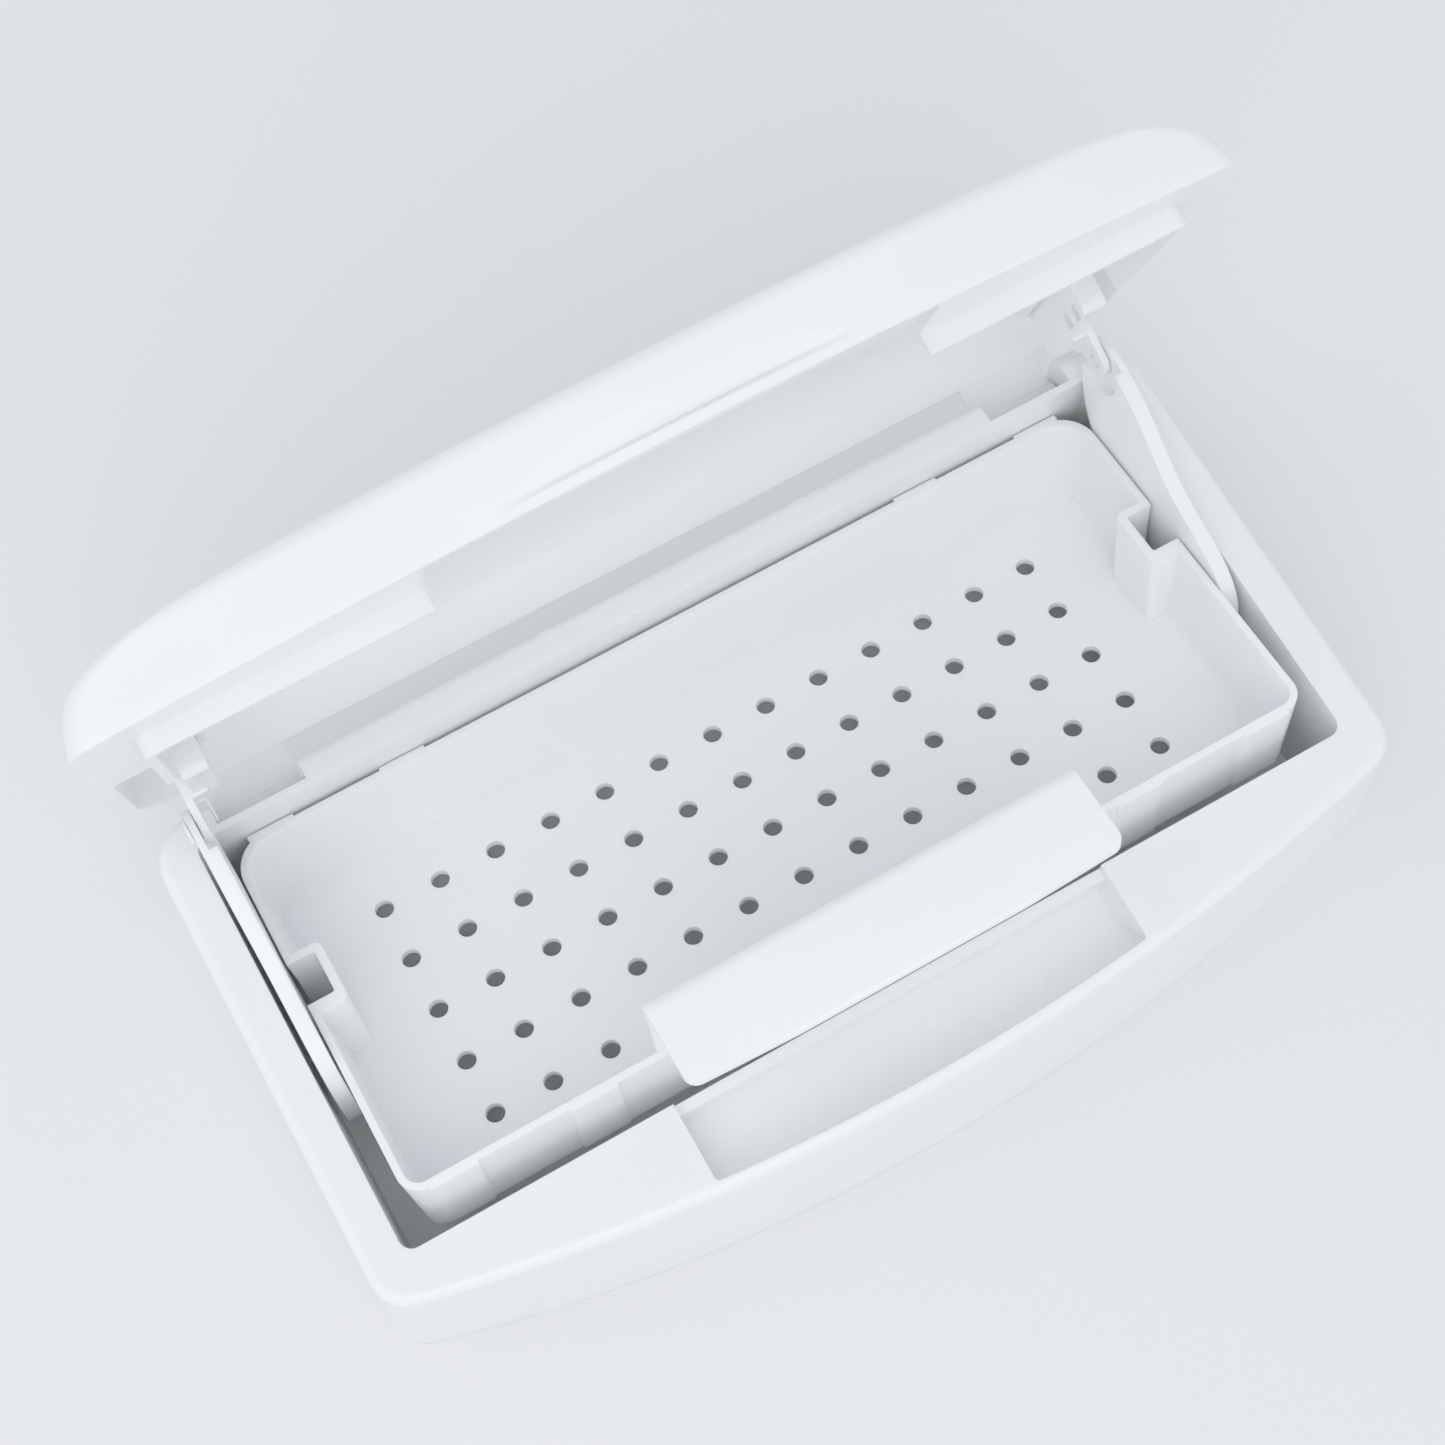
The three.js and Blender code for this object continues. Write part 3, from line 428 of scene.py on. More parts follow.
def moulded_plastic(name, light, dark, roughness, grain=SKIN_SIZE):
    """Injection-moulded plastic: cloudy flow marks, a fine satin grain, and light in the wall."""
    material, tree = new_material(name)
    place = add_node(tree, "ShaderNodeTexCoord").outputs["Object"]
    flow = add_node(tree, "ShaderNodeTexNoise", {
        "Scale": per_metre(FLOW_SIZE), "Detail": 3.0, "Roughness": 0.5}, {"Vector": place})
    skin = add_node(tree, "ShaderNodeTexNoise", {
        "Scale": per_metre(grain), "Detail": 2.0, "Roughness": 0.55}, {"Vector": place})
    tint = ramp(tree, flow.outputs["Fac"], ((0.35, dark), (0.65, light)))
    gloss = add_node(tree, "ShaderNodeMapRange", {
        "To Min": roughness + FLOW_GLOSS[0], "To Max": roughness + FLOW_GLOSS[1],
    }, {"Value": flow.outputs["Fac"]})
    relief = add_node(tree, "ShaderNodeBump", {
        "Strength": 0.12, "Distance": SKIN_DEPTH * MM}, {"Height": skin.outputs["Fac"]})
    shader = add_node(tree, "ShaderNodeBsdfPrincipled", {
        "IOR": 1.49,
        "Subsurface Weight": 0.35,
        "Subsurface Radius": tuple(reach * MM for reach in LIGHT_REACH),
        "Subsurface Scale": 1.0,
    }, {
        "Base Color": tint,
        "Roughness": gloss.outputs["Result"],
        "Normal": relief.outputs["Normal"],
    })
    add_node(tree, "ShaderNodeOutputMaterial", None, {"Surface": shader.outputs["BSDF"]})
    return material


def drawn_steel(name):
    """Drawn stainless wire: fine scratches that run along the wire."""
    material, tree = new_material(name)
    place = add_node(tree, "ShaderNodeTexCoord").outputs["Object"]
    stretch = add_node(tree, "ShaderNodeMapping", {
        "Scale": tuple(per_metre(size) for size in WIRE_SCRATCH)}, {"Vector": place})
    grain = add_node(tree, "ShaderNodeTexNoise", {
        "Scale": 1.0, "Detail": 2.0}, {"Vector": stretch.outputs["Vector"]})
    tint = ramp(tree, grain.outputs["Fac"], ((0.0, "B4B8BC"), (1.0, "D0D3D6")))
    gloss = add_node(tree, "ShaderNodeMapRange", {
        "To Min": 0.22, "To Max": 0.36}, {"Value": grain.outputs["Fac"]})
    shader = add_node(tree, "ShaderNodeBsdfPrincipled", {"Metallic": 1.0}, {
        "Base Color": tint, "Roughness": gloss.outputs["Result"]})
    add_node(tree, "ShaderNodeOutputMaterial", None, {"Surface": shader.outputs["BSDF"]})
    return material


# Polypropylene, injection moulded. Tub and lid are polished in the mould, so they give soft, clean
# highlights; the strainer, arms and brackets come from a duller mould and look a little greyer.
tub_plastic = moulded_plastic("polypropylene_moulded_gloss_tub", "EDEFF0", "EAECEE", 0.26)
lid_plastic = moulded_plastic("polypropylene_moulded_gloss_lid", "EEF0F1", "EBEDEF", 0.25)
tray_plastic = moulded_plastic("polypropylene_moulded_satin_strainer", "F4F6F8", "F1F4F6", 0.32)
arm_plastic = moulded_plastic("polypropylene_moulded_satin_arm", "F2F4F5", "EFF2F4", 0.34)
bracket_plastic = moulded_plastic(
    "polypropylene_moulded_satin_bracket", "F2F4F5", "EFF1F3", 0.35)
# Acetal, turned: a denser white with a dry, slightly waxy look and a finer grain.
pin_plastic = moulded_plastic("acetal_turned_pin", "F0F2F3", "ECEFF1", 0.4, PIN_SKIN_SIZE)
# Stainless wire, drawn: bright, with highlights pulled out along its length.
hinge_steel = drawn_steel("stainless_drawn_hinge_wire")


# ---- box outline ----
def bowed(start, bow):
    """Front edge as a circular bow: y at a given x, with its nearest point at start."""
    return lambda x: start + bow - math.sqrt(bow * bow - x * x)


def bowed_outline(half, edge, rear_y, reach, front_corner, rear_corner, steps):
    """Plan of the box: bowed front edge, straight sides and rear, four rounded corners."""
    corners = []
    for k in range(BOW_STEPS + 1):
        x = -reach + 2 * reach * k / BOW_STEPS
        corners.append((x, edge(x), 0))
    corners += [
        (half, edge(half), front_corner),
        (half, rear_y, rear_corner),
        (-half, rear_y, rear_corner),
        (-half, edge(half), front_corner),
    ]
    return rounded(corners, steps)


def box_outline(inset, side=0.0, front=0.0, rear=0.0, bow=BOW):
    """Outline of the rim, set in by inset and pushed out by side, front and rear."""
    half = HALF + side - inset
    edge = bowed(RIM_FRONT - front + inset, bow - inset)
    front_corner = max(FRONT_CORNER - inset, LEAST_CORNER)
    rear_corner = max(REAR_CORNER - inset, LEAST_CORNER)
    return bowed_outline(
        half, edge, RIM_REAR + rear - inset, half - FRONT_CORNER, front_corner, rear_corner, ARC)


def foot_outline(inset):
    """Outline where the box stands, flared out from the rim's."""
    return box_outline(inset, FOOT_SIDE, FOOT_FRONT, FOOT_REAR, FOOT_BOW)


def top_rounding(radius, z, outline, steps=7):
    """Rings that round an outline's top edge over at height z."""
    rings = []
    for k in range(steps + 1):
        a = math.pi / 2 * k / steps
        rings.append((outline(radius * (1 - math.cos(a))), z - radius + radius * math.sin(a)))
    return rings


# ---- base tub ----
def scoop_outline(grow):
    """Plan of the finger scoop in the front rim, open towards the basin."""
    back = BASIN_FRONT + 1
    half = SCOOP_HALF + grow
    edge = bowed(RIM_FRONT + SCOOP_MARGIN - grow, BOW)
    corner = SCOOP_CORNER + grow
    corners = [(half, back, 0), (-half, back, 0), (-half, edge(half), corner)]
    for k in range(1, SCOOP_STEPS):
        x = -half + 2 * half * k / SCOOP_STEPS
        corners.append((x, edge(x), 0))
    corners.append((half, edge(half), corner))
    return rounded(corners)


def scoop(grow, top):
    """Dished scoop, or with grow the plastic around it; its front wall curves into its floor."""
    outline = scoop_outline(grow)

    def ring(inset):
        narrow = 1 - 0.2 * inset / SCOOP_HALF
        return [(x * narrow, y if y > BASIN_FRONT else y + inset * 1.4) for x, y in outline]

    floor = BASE_HEIGHT - SCOOP_DEPTH - grow
    curve = SCOOP_DEPTH * 0.8
    rings = []
    for k in range(9):
        a = math.pi / 2 * k / 8
        rings.append((ring(SCOOP_BULGE * (1 - math.sin(a))), floor + curve * (1 - math.cos(a))))
    rings.append((ring(0), floor + SCOOP_DEPTH))
    rings.append((ring(0), top))
    return loft(rings)


def hinge_housing(side):
    """Ear, cheek and shelf that close the notch in which a hinge tongue turns."""
    low = NOTCH_FLOOR - SHELL
    back = NOTCH_FRONT - REAR_WALL
    proud = RIM_REAR + HOUSING_PROUD
    shoulder = BASE_HEIGHT - RIM_ROUND
    ear_outline = rounded([
        (back, low, 0), (proud, low, 2), (proud, shoulder, 3),
        (RIM_REAR - RIM_ROUND, BASE_HEIGHT, 1), (back, BASE_HEIGHT, 0),
    ])
    ear = sideways(ear_outline, side * NOTCH_OUT, side * (NOTCH_OUT + EAR))
    cheek = sideways([
        (back, low), (RIM_REAR, low), (RIM_REAR, shoulder), (back, shoulder),
    ], side * NOTCH_IN, side * (NOTCH_IN - SHELL))
    shelf = sideways([
        (back, low), (RIM_REAR, low), (RIM_REAR, NOTCH_FLOOR), (back, NOTCH_FLOOR),
    ], side * (NOTCH_IN - SHELL), side * (NOTCH_OUT + EAR))
    return [ear, cheek, shelf]


def hinge_notch(side):
    """What is cut out for a hinge: the notch itself and the bore for its wire."""
    behind, above = RIM_REAR + 5, BASE_HEIGHT + OVERSHOOT
    opening = sideways([
        (NOTCH_FRONT, NOTCH_FLOOR), (behind, NOTCH_FLOOR), (behind, above), (NOTCH_FRONT, above),
    ], side * NOTCH_IN, side * NOTCH_OUT)
    inner = side * (NOTCH_IN - SHELL - OVERSHOOT)
    outer = side * (NOTCH_OUT + EAR + OVERSHOOT)
    return [opening, rod(*HINGE, PIN + GAP, inner, outer)]


def base_tub():
    """One moulding: flared skirt, flat rim with a scoop, a basin, and the hinge housings."""
    outer = loft([(foot_outline(0), 0)] + top_rounding(RIM_ROUND, BASE_HEIGHT, box_outline))
    under = loft([
        (foot_outline(SHELL + 0.05), -OVERSHOOT),
        (foot_outline(SHELL), 0),
        (box_outline(SHELL), BASE_HEIGHT - SHELL),
    ])
    basin_shell = block(
        -BASIN_HALF - SHELL, BASIN_HALF + SHELL, BASIN_FRONT - SHELL, BASIN_REAR + REAR_WALL,
        0, BASE_HEIGHT - SHELL / 2, BASIN_CORNER + SHELL,
    )
    cut(under, basin_shell)
    tub = cut(outer, under)
    add(tub, scoop(SHELL, BASE_HEIGHT - SHELL / 2))
    for side in (1, -1):
        add(tub, *hinge_housing(side))
    above = BASE_HEIGHT + OVERSHOOT
    cut(tub, block(
        -BASIN_HALF, BASIN_HALF, BASIN_FRONT, BASIN_REAR, FLOOR, above, BASIN_CORNER,
    ))
    dish = scoop(0, above)
    cut(dish, block(-HALF, HALF, BASIN_FRONT - SHELL, BASIN_FRONT + 2, 0, BASE_HEIGHT * 2))
    cut(tub, dish)
    cut(tub, block(
        -SCOOP_HALF, SCOOP_HALF, BASIN_FRONT - SHELL - OVERSHOOT, BASIN_FRONT + OVERSHOOT,
        BASE_HEIGHT - SCOOP_LIP, above,
    ))
    for side in (1, -1):
        cut(tub, *hinge_notch(side))
    return soften(tub, 0.7)


# ---- lid ----
def dome_outline(side, front, rear):
    """Outline of the lid, set in at its sides, front and rear; its corners grow as it shrinks."""
    half = HALF - side
    y0, y1 = RIM_FRONT + front, RIM_REAR - rear
    limit = 0.4 * (y1 - y0)
    front_corner = min(FRONT_CORNER + 0.5 * side, limit)
    rear_corner = min(REAR_CORNER + 0.5 * side, limit)
    return bowed_outline(
        half, bowed(y0, BOW - front), y1, half - front_corner, front_corner * 0.9, rear_corner,
        DOME_ARC)


def faired(table, per=4):
    """Extra rows on a smooth curve through the rows of a table."""
    rows = []
    last = len(table) - 1
    for i in range(last):
        p0, p1, p2, p3 = (table[min(max(i + k, 0), last)] for k in (-1, 0, 1, 2))
        for k in range(per):
            t = k / per
            rows.append(tuple(
                b + 0.5 * t * (c - a + t * (2 * a - 5 * b + 4 * c - d + t * (3 * (b - c) + d - a)))
                for a, b, c, d in zip(p0, p1, p2, p3)
            ))
    rows.append(table[last])
    return rows


def dome_rings(wall):
    """Rings of the dome, all set in by a wall's thickness except at the lip's height."""
    height = LID_TOP - LID_BOTTOM
    rings = []
    for share, side, front, rear in faired(DOME):
        outline = dome_outline(side + wall, front + wall, rear + wall)
        rings.append((outline, LID_BOTTOM + share * height - (wall if share > 0 else 0)))
    return rings


def grip(wall):
    """Crescent grip in the front wall above the lip; with a wall given, the backing behind it."""
    floor = LID_BOTTOM + LID_WALL

    def ring(height):
        fade = 1 - height / GRIP_HEIGHT
        half = GRIP_HALF * (0.55 + 0.45 * fade) + wall
        depth = GRIP_DEPTH * fade + wall
        ahead = RIM_FRONT - 10
        points = [(half, ahead), (-half, ahead)]
        for k in range(BOW_STEPS + 1):
            share = -1 + 2 * k / BOW_STEPS
            rise = (half * share) ** 2 / (2 * BOW)
            points.append((half * share, RIM_FRONT + rise + depth * (1 - share * share)))
        return list(reversed(points))

    rings = [(ring(0), LID_BOTTOM if wall > 0 else floor), (ring(0), floor + 0.1 * GRIP_HEIGHT)]
    for k in range(1, 9):
        height = GRIP_HEIGHT * k / 8
        rings.append((ring(height), floor + max(height, 0.11 * GRIP_HEIGHT)))
    return loft(rings)


def lid_flange():
    """Flat land inside the lip and the flange that hangs from it into the basin, open in front."""
    front = BASIN_FRONT + FLANGE_CLEARANCE
    rear = BASIN_FRONT + FLANGE_SIDE_END
    half = BASIN_HALF - FLANGE_SIDE_SLOT
    top = LID_BOTTOM + LID_WALL
    beyond, high = RIM_REAR * 2, LID_TOP * 2
    land = loft([(box_outline(1), LID_BOTTOM), (box_outline(1), top)])
    add(land, block(-half, half, front, RIM_REAR, BASE_HEIGHT - FLANGE_DROP, top, BASIN_CORNER))
    cut(land, block(-half + LID_WALL, half - LID_WALL, front + LID_WALL, beyond, 0, high))
    cut(land, block(-FLANGE_GAP_HALF, FLANGE_GAP_HALF, RIM_FRONT - 20, RIM_REAR, 0, high))
    cut(land, block(-HALF * 2, HALF * 2, rear, beyond, 0, high))
    return land


def hinge_tongue(side):
    """Plate from the lid's rear wall down to the knuckle on the hinge wire."""
    y, z = HINGE
    inner, outer = side * (NOTCH_IN + TONGUE_SIDE_GAP), side * (NOTCH_OUT - TONGUE_SIDE_GAP)
    rear, root = RIM_REAR - TONGUE_SETBACK, LID_BOTTOM + 2
    plate = sideways([
        (y, z - 0.5), (y + KNUCKLE, z), (rear, z + 5),
        (rear, root), (RIM_REAR - LID_WALL, root), (RIM_REAR - LID_WALL, z + 5),
    ], inner, outer)
    return add(plate, rod(y, z, KNUCKLE, inner, outer))


def bracket_ribs(side):
    """Two upright ribs under the lid top that hold one arm bracket between them."""
    low, top = LID_BOTTOM + RIB_LOW, LID_TOP
    inner, outer = BRACKET_X - GAP, BRACKET_X + BRACKET_WIDTH + GAP
    out = []
    for xa, xb in ((inner - RIB_THICKNESS, inner), (outer, outer + RIB_THICKNESS)):
        out.append(sideways([
            (BRACKET_NOSE, low), (BRACKET_REAR, low), (BRACKET_REAR, top), (BRACKET_NOSE, top),
        ], side * xa, side * xb))
    return out


def lid_shell():
    """Built closed, then opened about the hinge line."""
    lid = loft(dome_rings(DOME_INSET))
    mouth = (dome_outline(LID_WALL, LID_WALL, LID_WALL), LID_BOTTOM - OVERSHOOT)
    cut(lid, loft([mouth] + dome_rings(LID_WALL)))
    add(lid, combine(grip(LID_WALL), loft(dome_rings(DOME_INSET + 0.05)), "INTERSECT"))
    cut(lid, grip(0))
    add(lid, lid_flange())
    for side in (1, -1):
        add(lid, hinge_tongue(side))
        for rib in bracket_ribs(side):
            add(lid, combine(rib, loft(dome_rings(0.3)), "INTERSECT"))
    cut(lid, rod(*HINGE, PIN + GAP, -HALF, HALF))
    soften(lid, 0.5)
    return turned(lid, HINGE, OPEN)


# ---- strainer tray ----
def tray_outline(inset):
    """Plan of the strainer at its rim, set in by inset."""
    half = TRAY_HALF - inset
    deep = TRAY_DEPTH / 2 - inset
    front = max(TRAY_FRONT_CORNER - inset, LEAST_CORNER)
    rear = max(TRAY_REAR_CORNER - inset, LEAST_CORNER)
    return rounded([
        (-half, -deep, front), (half, -deep, front), (half, deep, rear), (-half, deep, rear),
    ])


def tray_pad(x, end):
    """Upright guide pad on the front or rear wall, with the wall's own draft."""
    half = PAD_WIDTH / 2

    def ring(draft):
        y0, y1 = sorted((
            end * (TRAY_DEPTH / 2 - TRAY_WALL / 2 - draft),
            end * (TRAY_DEPTH / 2 + PAD_PROUD - draft),
        ))
        return [(x - half, y0), (x + half, y0), (x + half, y1), (x - half, y1)]

    return loft([(ring(TRAY_DRAFT), TRAY_FLOOR), (ring(0), TRAY_HEIGHT)])


POCKET_Y0 = POCKET_CENTRE - POCKET_WIDTH / 2
POCKET_Y1 = POCKET_CENTRE + POCKET_WIDTH / 2


def pocket_body(side):
    """Walls of the pocket in a side wall, which makes room for the arm bracket."""
    inner, outer = TRAY_HALF - POCKET_DEPTH - POCKET_WALL, TRAY_HALF - POCKET_WALL / 4
    x0, x1 = sorted((side * inner, side * outer))
    return block(
        x0, x1, POCKET_Y0 - POCKET_FRONT_WALL, POCKET_Y1 + POCKET_WALL, 0, TRAY_HEIGHT, 1.6)


def pocket_channel(side):
    """The pocket's own hollow, open to the outside."""
    x0, x1 = sorted((side * (TRAY_HALF - POCKET_DEPTH), side * (TRAY_HALF + OVERSHOOT)))
    return block(x0, x1, POCKET_Y0, POCKET_Y1, -TRAY_HEIGHT, TRAY_HEIGHT * 2, 0.6)


def tray_handle():
    """Plate that leans up from the front wall and bends forward over the scoop."""
    wall = -TRAY_DEPTH / 2
    top = TRAY_HEIGHT + HANDLE_RISE
    below = top - HANDLE_THICKNESS
    root = TRAY_HEIGHT - 2
    web = wall + HANDLE_LEAN + TRAY_WALL
    tip = web - HANDLE_REACH
    profile = rounded([
        (web, top, 3.5),
        (tip, top, HANDLE_EDGE),
        (tip, below, HANDLE_EDGE),
        (web - HANDLE_THICKNESS, below, 2),
        (wall, root, 0),
        (wall + TRAY_WALL, root, 0),
    ])
    bent = sideways(profile, -HANDLE_HALF, HANDLE_HALF)
    half, rear = HANDLE_HALF, web + 10
    plan = rounded([
        (-half, rear, 0), (-half, tip + 1.4, 3), (-half / 2, tip + 0.3, 0),
        (half / 2, tip + 0.3, 0), (half, tip + 1.4, 3), (half, rear, 0),
    ])
    return combine(bent, loft([(plan, 0), (plan, top * 2)]), "INTERSECT")


def tray_holes():
    """Square grid of drain holes."""
    holes = []
    for i in range(-HOLES_EACH_SIDE, HOLES_EACH_SIDE + 1):
        for j in range(-HOLES_EACH_WAY, HOLES_EACH_WAY + 1):
            ring = circle(i * HOLE_PITCH, j * HOLE_PITCH, HOLE_RADIUS, HOLE_STEPS)
            holes.append(loft([(ring, -OVERSHOOT), (ring, TRAY_FLOOR + OVERSHOOT)]))
    return gather(holes)


def tray_foot(side, end):
    x, y = side * (TRAY_HALF - FOOT_FROM_END), end * (TRAY_DEPTH / 2 - FOOT_FROM_SIDE)
    return block(
        x - FOOT_HALF_LENGTH, x + FOOT_HALF_LENGTH, y - FOOT_HALF_WIDTH, y + FOOT_HALF_WIDTH,
        -FOOT_HEIGHT, TRAY_FLOOR / 2, LEAST_CORNER)


def strainer_tray():
    """Built level, then tilted about its rear rim: the lifted place that the open lid gives it."""
    outer = loft([
        (tray_outline(TRAY_DRAFT + 1.6), 0),
        (tray_outline(TRAY_DRAFT + 0.9), 0.15),
        (tray_outline(TRAY_DRAFT + 0.3), 0.7),
        (tray_outline(TRAY_DRAFT), 1.6),
        (tray_outline(0), TRAY_HEIGHT),
    ])
    inside = TRAY_DRAFT + TRAY_WALL
    hollow = loft([
        (tray_outline(inside + 1.2), TRAY_FLOOR),
        (tray_outline(inside + 0.5), TRAY_FLOOR + 0.2),
        (tray_outline(inside), TRAY_FLOOR + 0.9),
        (tray_outline(TRAY_WALL), TRAY_HEIGHT),
        (tray_outline(TRAY_WALL), TRAY_HEIGHT + OVERSHOOT),
    ])
    tray = cut(outer, hollow)
    for centre in PAD_CENTRES:
        for side in (-1, 1):
            for end in (-1, 1):
                add(tray, tray_pad(side * centre, end))
    for side in (1, -1):
        add(tray, pocket_body(side))
        cut(tray, pocket_channel(side))
    add(tray, tray_handle())
    for side in (-1, 1):
        for end in (-1, 1):
            add(tray, tray_foot(side, end))
    cut(tray, tray_holes())
    soften(tray, 0.25)
    y, z = tray_point(0, 0)
    there = Matrix.Translation((0, y * MM, z * MM))
    return shift(tray, there @ Matrix.Rotation(math.radians(-TRAY_TILT), 4, "X"))


def tray_point(y, z):
    """Where a (y, z) point of the level tray stands once the tray is tilted."""
    rim_y, rim_z = TRAY_REAR_RIM
    level = (rim_y + y - TRAY_DEPTH / 2, rim_z + z - TRAY_HEIGHT)
    return turn_point(level, TRAY_REAR_RIM, TRAY_TILT)


# ---- arms, brackets and pins ----
PEG = tray_point(PEG_ALONG, -PEG_RADIUS - PEG_CLEARANCE)
# The arm's edge: share of the way from pivot to peg, then how far it stands above that line.
ARM_OUTLINE = [
    (0.12, 10.6), (0.43, 15.5), (0.655, 23.5), (0.76, 24.5), (0.85, 22.5), (0.99, 13.2),
    (1.04, 6.1), (1.025, 0), (1, -1.2), (0.74, -7.6), (0.5, -14), (0.27, -15.4),
    (0.1, -11), (-0.03, -4.5), (-0.06, 0), (-0.03, 5),
]


def arm_point(share, ahead):
    """Point of the arm's edge, given as in ARM_OUTLINE."""
    dy, dz = PEG[0] - PIVOT[0], PEG[1] - PIVOT[1]
    length = math.hypot(dy, dz)
    return (
        PIVOT[0] + share * dy + ahead * dz / length,
        PIVOT[1] + share * dz - ahead * dy / length,
    )


def fair_edge(points, per=8):
    """Centripetal Catmull-Rom through the points, closed."""
    count = len(points)
    out = []
    for i in range(count):
        p0, p1, p2, p3 = (Vector(points[(i + k - 1) % count]) for k in range(4))
        t1 = max((p1 - p0).length ** 0.5, 1e-6)
        t2 = max((p2 - p1).length ** 0.5, 1e-6)
        t3 = max((p3 - p2).length ** 0.5, 1e-6)
        m1 = ((p1 - p0) / t1 - (p2 - p0) / (t1 + t2) + (p2 - p1) / t2) * t2
        m2 = ((p2 - p1) / t2 - (p3 - p1) / (t2 + t3) + (p3 - p2) / t3) * t2
        for k in range(per):
            t = k / per
            h1, h2 = 2 * t**3 - 3 * t**2 + 1, t**3 - 2 * t**2 + t
            h3, h4 = -2 * t**3 + 3 * t**2, t**3 - t**2
            out.append(tuple(p1 * h1 + m1 * h2 + p2 * h3 + m2 * h4))
    return out


def lift_arm(side):
    """Curved plate, its eye thinned where it laps the bracket, with a peg under the strainer."""
    edge = fair_edge([arm_point(*point) for point in ARM_OUTLINE])
    lap = side * (ARM_IN + LAP + GAP)
    plate = sideways(edge, side * ARM_IN, side * ARM_OUT)
    add(plate, rod(*PIVOT, EYE, lap, side * ARM_OUT))
    cut(plate, rod(*PIVOT, EYE + LAP_ROOM, side * (ARM_IN - OVERSHOOT), lap))
    add(plate, rod(*PEG, PEG_RADIUS, side * (ARM_IN - PEG_LENGTH), side * (ARM_IN + OVERSHOOT)))
    cut(plate, rod(*PIVOT, ARM_PIN + GAP, -HALF, HALF))
    return soften(plate, 0.35)


def arm_bracket(side):
    """Block between the lid's ribs, with two windows and a fork arm that carries the pivot."""
    py, pz = turn_point(PIVOT, HINGE, -OPEN)
    low = BASE_HEIGHT - BRACKET_DROP
    high = low + BRACKET_HEIGHT
    nose, rear = BRACKET_NOSE + 2, BRACKET_REAR - 1
    body = sideways(rounded([
        (nose, low + 1.5, 2), (rear, low, 2), (rear, high, 0), (nose, high, 0),
    ]), side * BRACKET_X, side * (BRACKET_X + BRACKET_WIDTH))
    lap = side * (ARM_IN + LAP)
    front, back = py - EYE, py + 4
    add(body, sideways([
        (front, low), (back, low), (back, low + 5), (front, low + 5),
    ], side * (BRACKET_X + BRACKET_WIDTH / 2), lap))
    add(body, sideways([
        (front, low + 1), (py - FORK_HALF, pz), (py + FORK_HALF, pz), (back, low + 1),
    ], side * ARM_IN, lap))
    add(body, rod(py, pz, FORK_HALF, side * ARM_IN, lap))
    sill, lintel = low + 1.4, low + 1.4 + BRACKET_WINDOW
    for y in (nose + 3.5, nose + 3.5 + 1.8 * BRACKET_WINDOW):
        cut(body, sideways([
            (y, sill), (y + BRACKET_WINDOW, sill), (y + BRACKET_WINDOW, lintel), (y, lintel),
        ], side * (BRACKET_X - OVERSHOOT), side * (BRACKET_X + BRACKET_WIDTH + OVERSHOOT)))
    cut(body, rod(py, pz, ARM_PIN + GAP, -HALF, HALF))
    soften(body, 0.3)
    return turned(body, HINGE, OPEN)


def arm_pin(side):
    """Headed pin through the bracket's fork and the arm's eye."""
    under_head = ARM_OUT + GAP
    end = side * (under_head + ARM_PIN_HEAD)
    shank = rod(*PIVOT, ARM_PIN, side * ARM_IN, end)
    add(shank, rod(*PIVOT, ARM_PIN_HEAD_RADIUS, side * under_head, end))
    return soften(shank, 0.2)


def hinge_pin(side):
    """Plain wire from the notch's cheek to inside its ear."""
    pin = rod(*HINGE, PIN, side * (NOTCH_IN - SHELL), side * (NOTCH_OUT + EAR - GAP))
    return soften(pin, 0.2)


# ---- the pieces: name, body, the node it stands for, and material ----
finish_piece(base_tub(), "tub", "base", "base_tub", tub_plastic)
finish_piece(lid_shell(), "lid", "lid", "lid_shell", lid_plastic)
finish_piece(
    strainer_tray(), "strainer", "strainer", "strainer_tray", tray_plastic)
for label, side in (("left", -1), ("right", 1)):
    finish_piece(
        lift_arm(side), f"arm_{label}", f"arm_{label}",
        f"lift_arm_{label}", arm_plastic)
    finish_piece(
        arm_bracket(side), f"bracket_{label}", "lid",
        f"arm_bracket_{label}", bracket_plastic)
    finish_piece(
        arm_pin(side), f"arm_pin_{label}", "lid",
        f"arm_pivot_pin_{label}", pin_plastic)
    finish_piece(
        hinge_pin(side), f"hinge_wire_{label}", "base",
        f"hinge_pin_{label}", hinge_steel)


# ---- stage ----
FLOOR_HALF = 9.0  # metres, wide enough that low views meet it far away


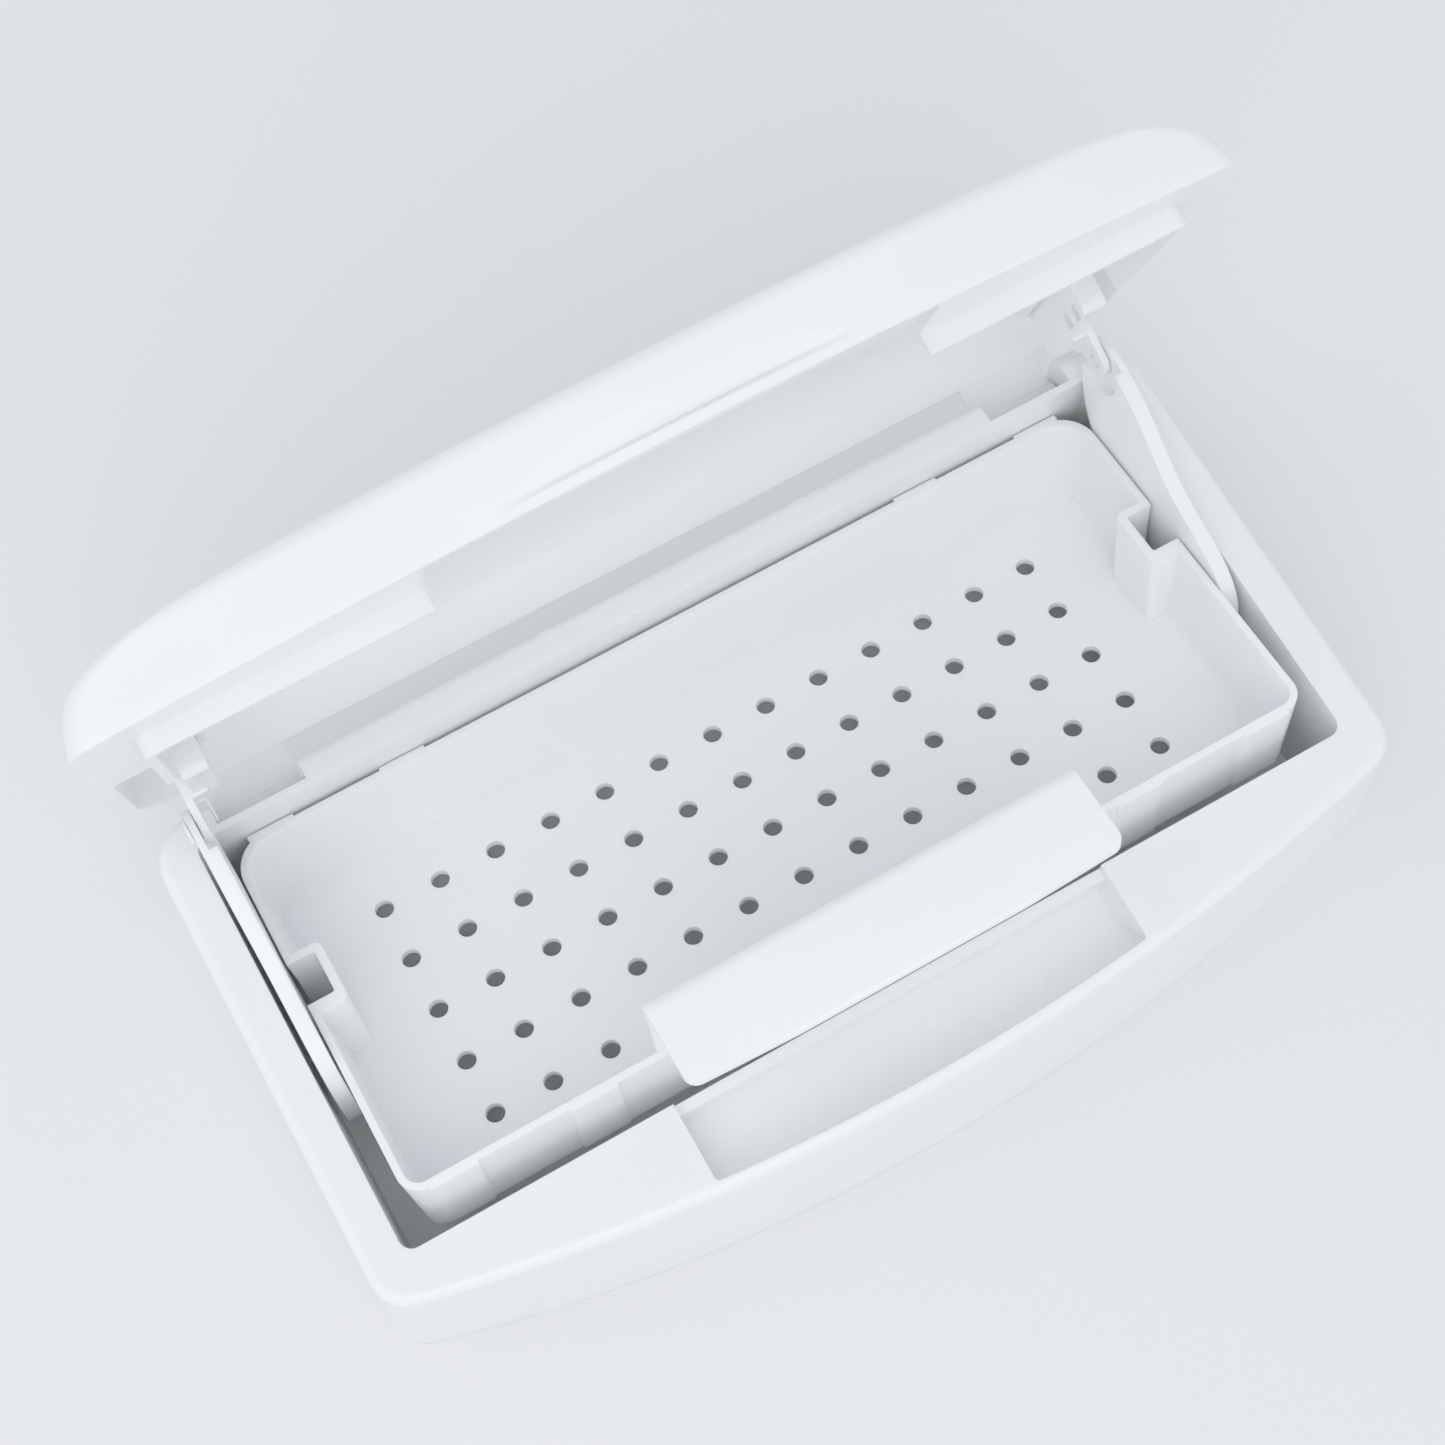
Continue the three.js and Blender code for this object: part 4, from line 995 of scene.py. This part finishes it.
def stage_floor():
    """Pale painted board with a fine nap."""
    bm = bmesh.new()
    bmesh.ops.create_grid(bm, x_segments=1, y_segments=1, size=FLOOR_HALF)
    floor = to_object(bm, "floor")
    material, tree = new_material("painted_board_floor")
    place = add_node(tree, "ShaderNodeTexCoord").outputs["Object"]
    nap = add_node(tree, "ShaderNodeTexNoise", {
        "Scale": per_metre(NAP_SIZE), "Detail": 3.0}, {"Vector": place})
    tint = ramp(tree, nap.outputs["Fac"], ((0.0, "DFDEDD"), (1.0, "E5E4E3")))
    shader = add_node(tree, "ShaderNodeBsdfPrincipled", {"Roughness": 0.85}, {"Base Color": tint})
    add_node(tree, "ShaderNodeOutputMaterial", None, {"Surface": shader.outputs["BSDF"]})
    floor.data.materials.append(material)
    return floor


def area_light(name, place, target, size, power, colour):
    """Round soft light, in metres and watts, turned to face its target."""
    data = bpy.data.lights.new(name, "AREA")
    data.shape = "DISK"
    data.size = size
    data.energy = power
    data.color = linear(colour)[:3]
    lamp = bpy.data.objects.new(name, data)
    bpy.context.scene.collection.objects.link(lamp)
    lamp.location = place
    direction = Vector(target) - Vector(place)
    lamp.rotation_euler = direction.to_track_quat("-Z", "Y").to_euler()
    return lamp


floor = stage_floor()
key = area_light("key", (-0.35, -0.7, 1.05), (0, 0, 0.05), 1.3, 5.8, "FFFCF8")
fill = area_light("fill", (-0.8, 0.45, 0.9), (0, 0, 0.03), 1.1, 1.5, "FFFFFF")

world = bpy.data.worlds.new("studio")
world.use_nodes = True
sky = world.node_tree.nodes["Background"]
sky.inputs["Color"].default_value = linear("E9F1FA")
sky.inputs["Strength"].default_value = 0.76
bpy.context.scene.world = world
bpy.context.scene.view_settings.view_transform = "Standard"
# A bright, low-contrast look: the display gamma lifts the shadows of a white object on white.
bpy.context.scene.view_settings.gamma = 1.5

# ---- camera, above and in front, rolled so that the box lies aslant ----
lens = bpy.data.cameras.new("camera")
lens.lens = 63.54
lens.sensor_width = 36.0
lens.clip_start = 0.01
camera = bpy.data.objects.new("camera", lens)
bpy.context.scene.collection.objects.link(camera)
right = Vector((0.8704, -0.4924, -0.0027))
up = Vector((0.4640, 0.8184, 0.3391))
back = Vector((-0.1648, -0.2964, 0.9408))
camera.matrix_world = Matrix((
    (right.x, up.x, back.x, -0.0928),
    (right.y, up.y, back.y, -0.1357),
    (right.z, up.z, back.z, 0.5599),
    (0, 0, 0, 1),
))
bpy.context.scene.camera = camera
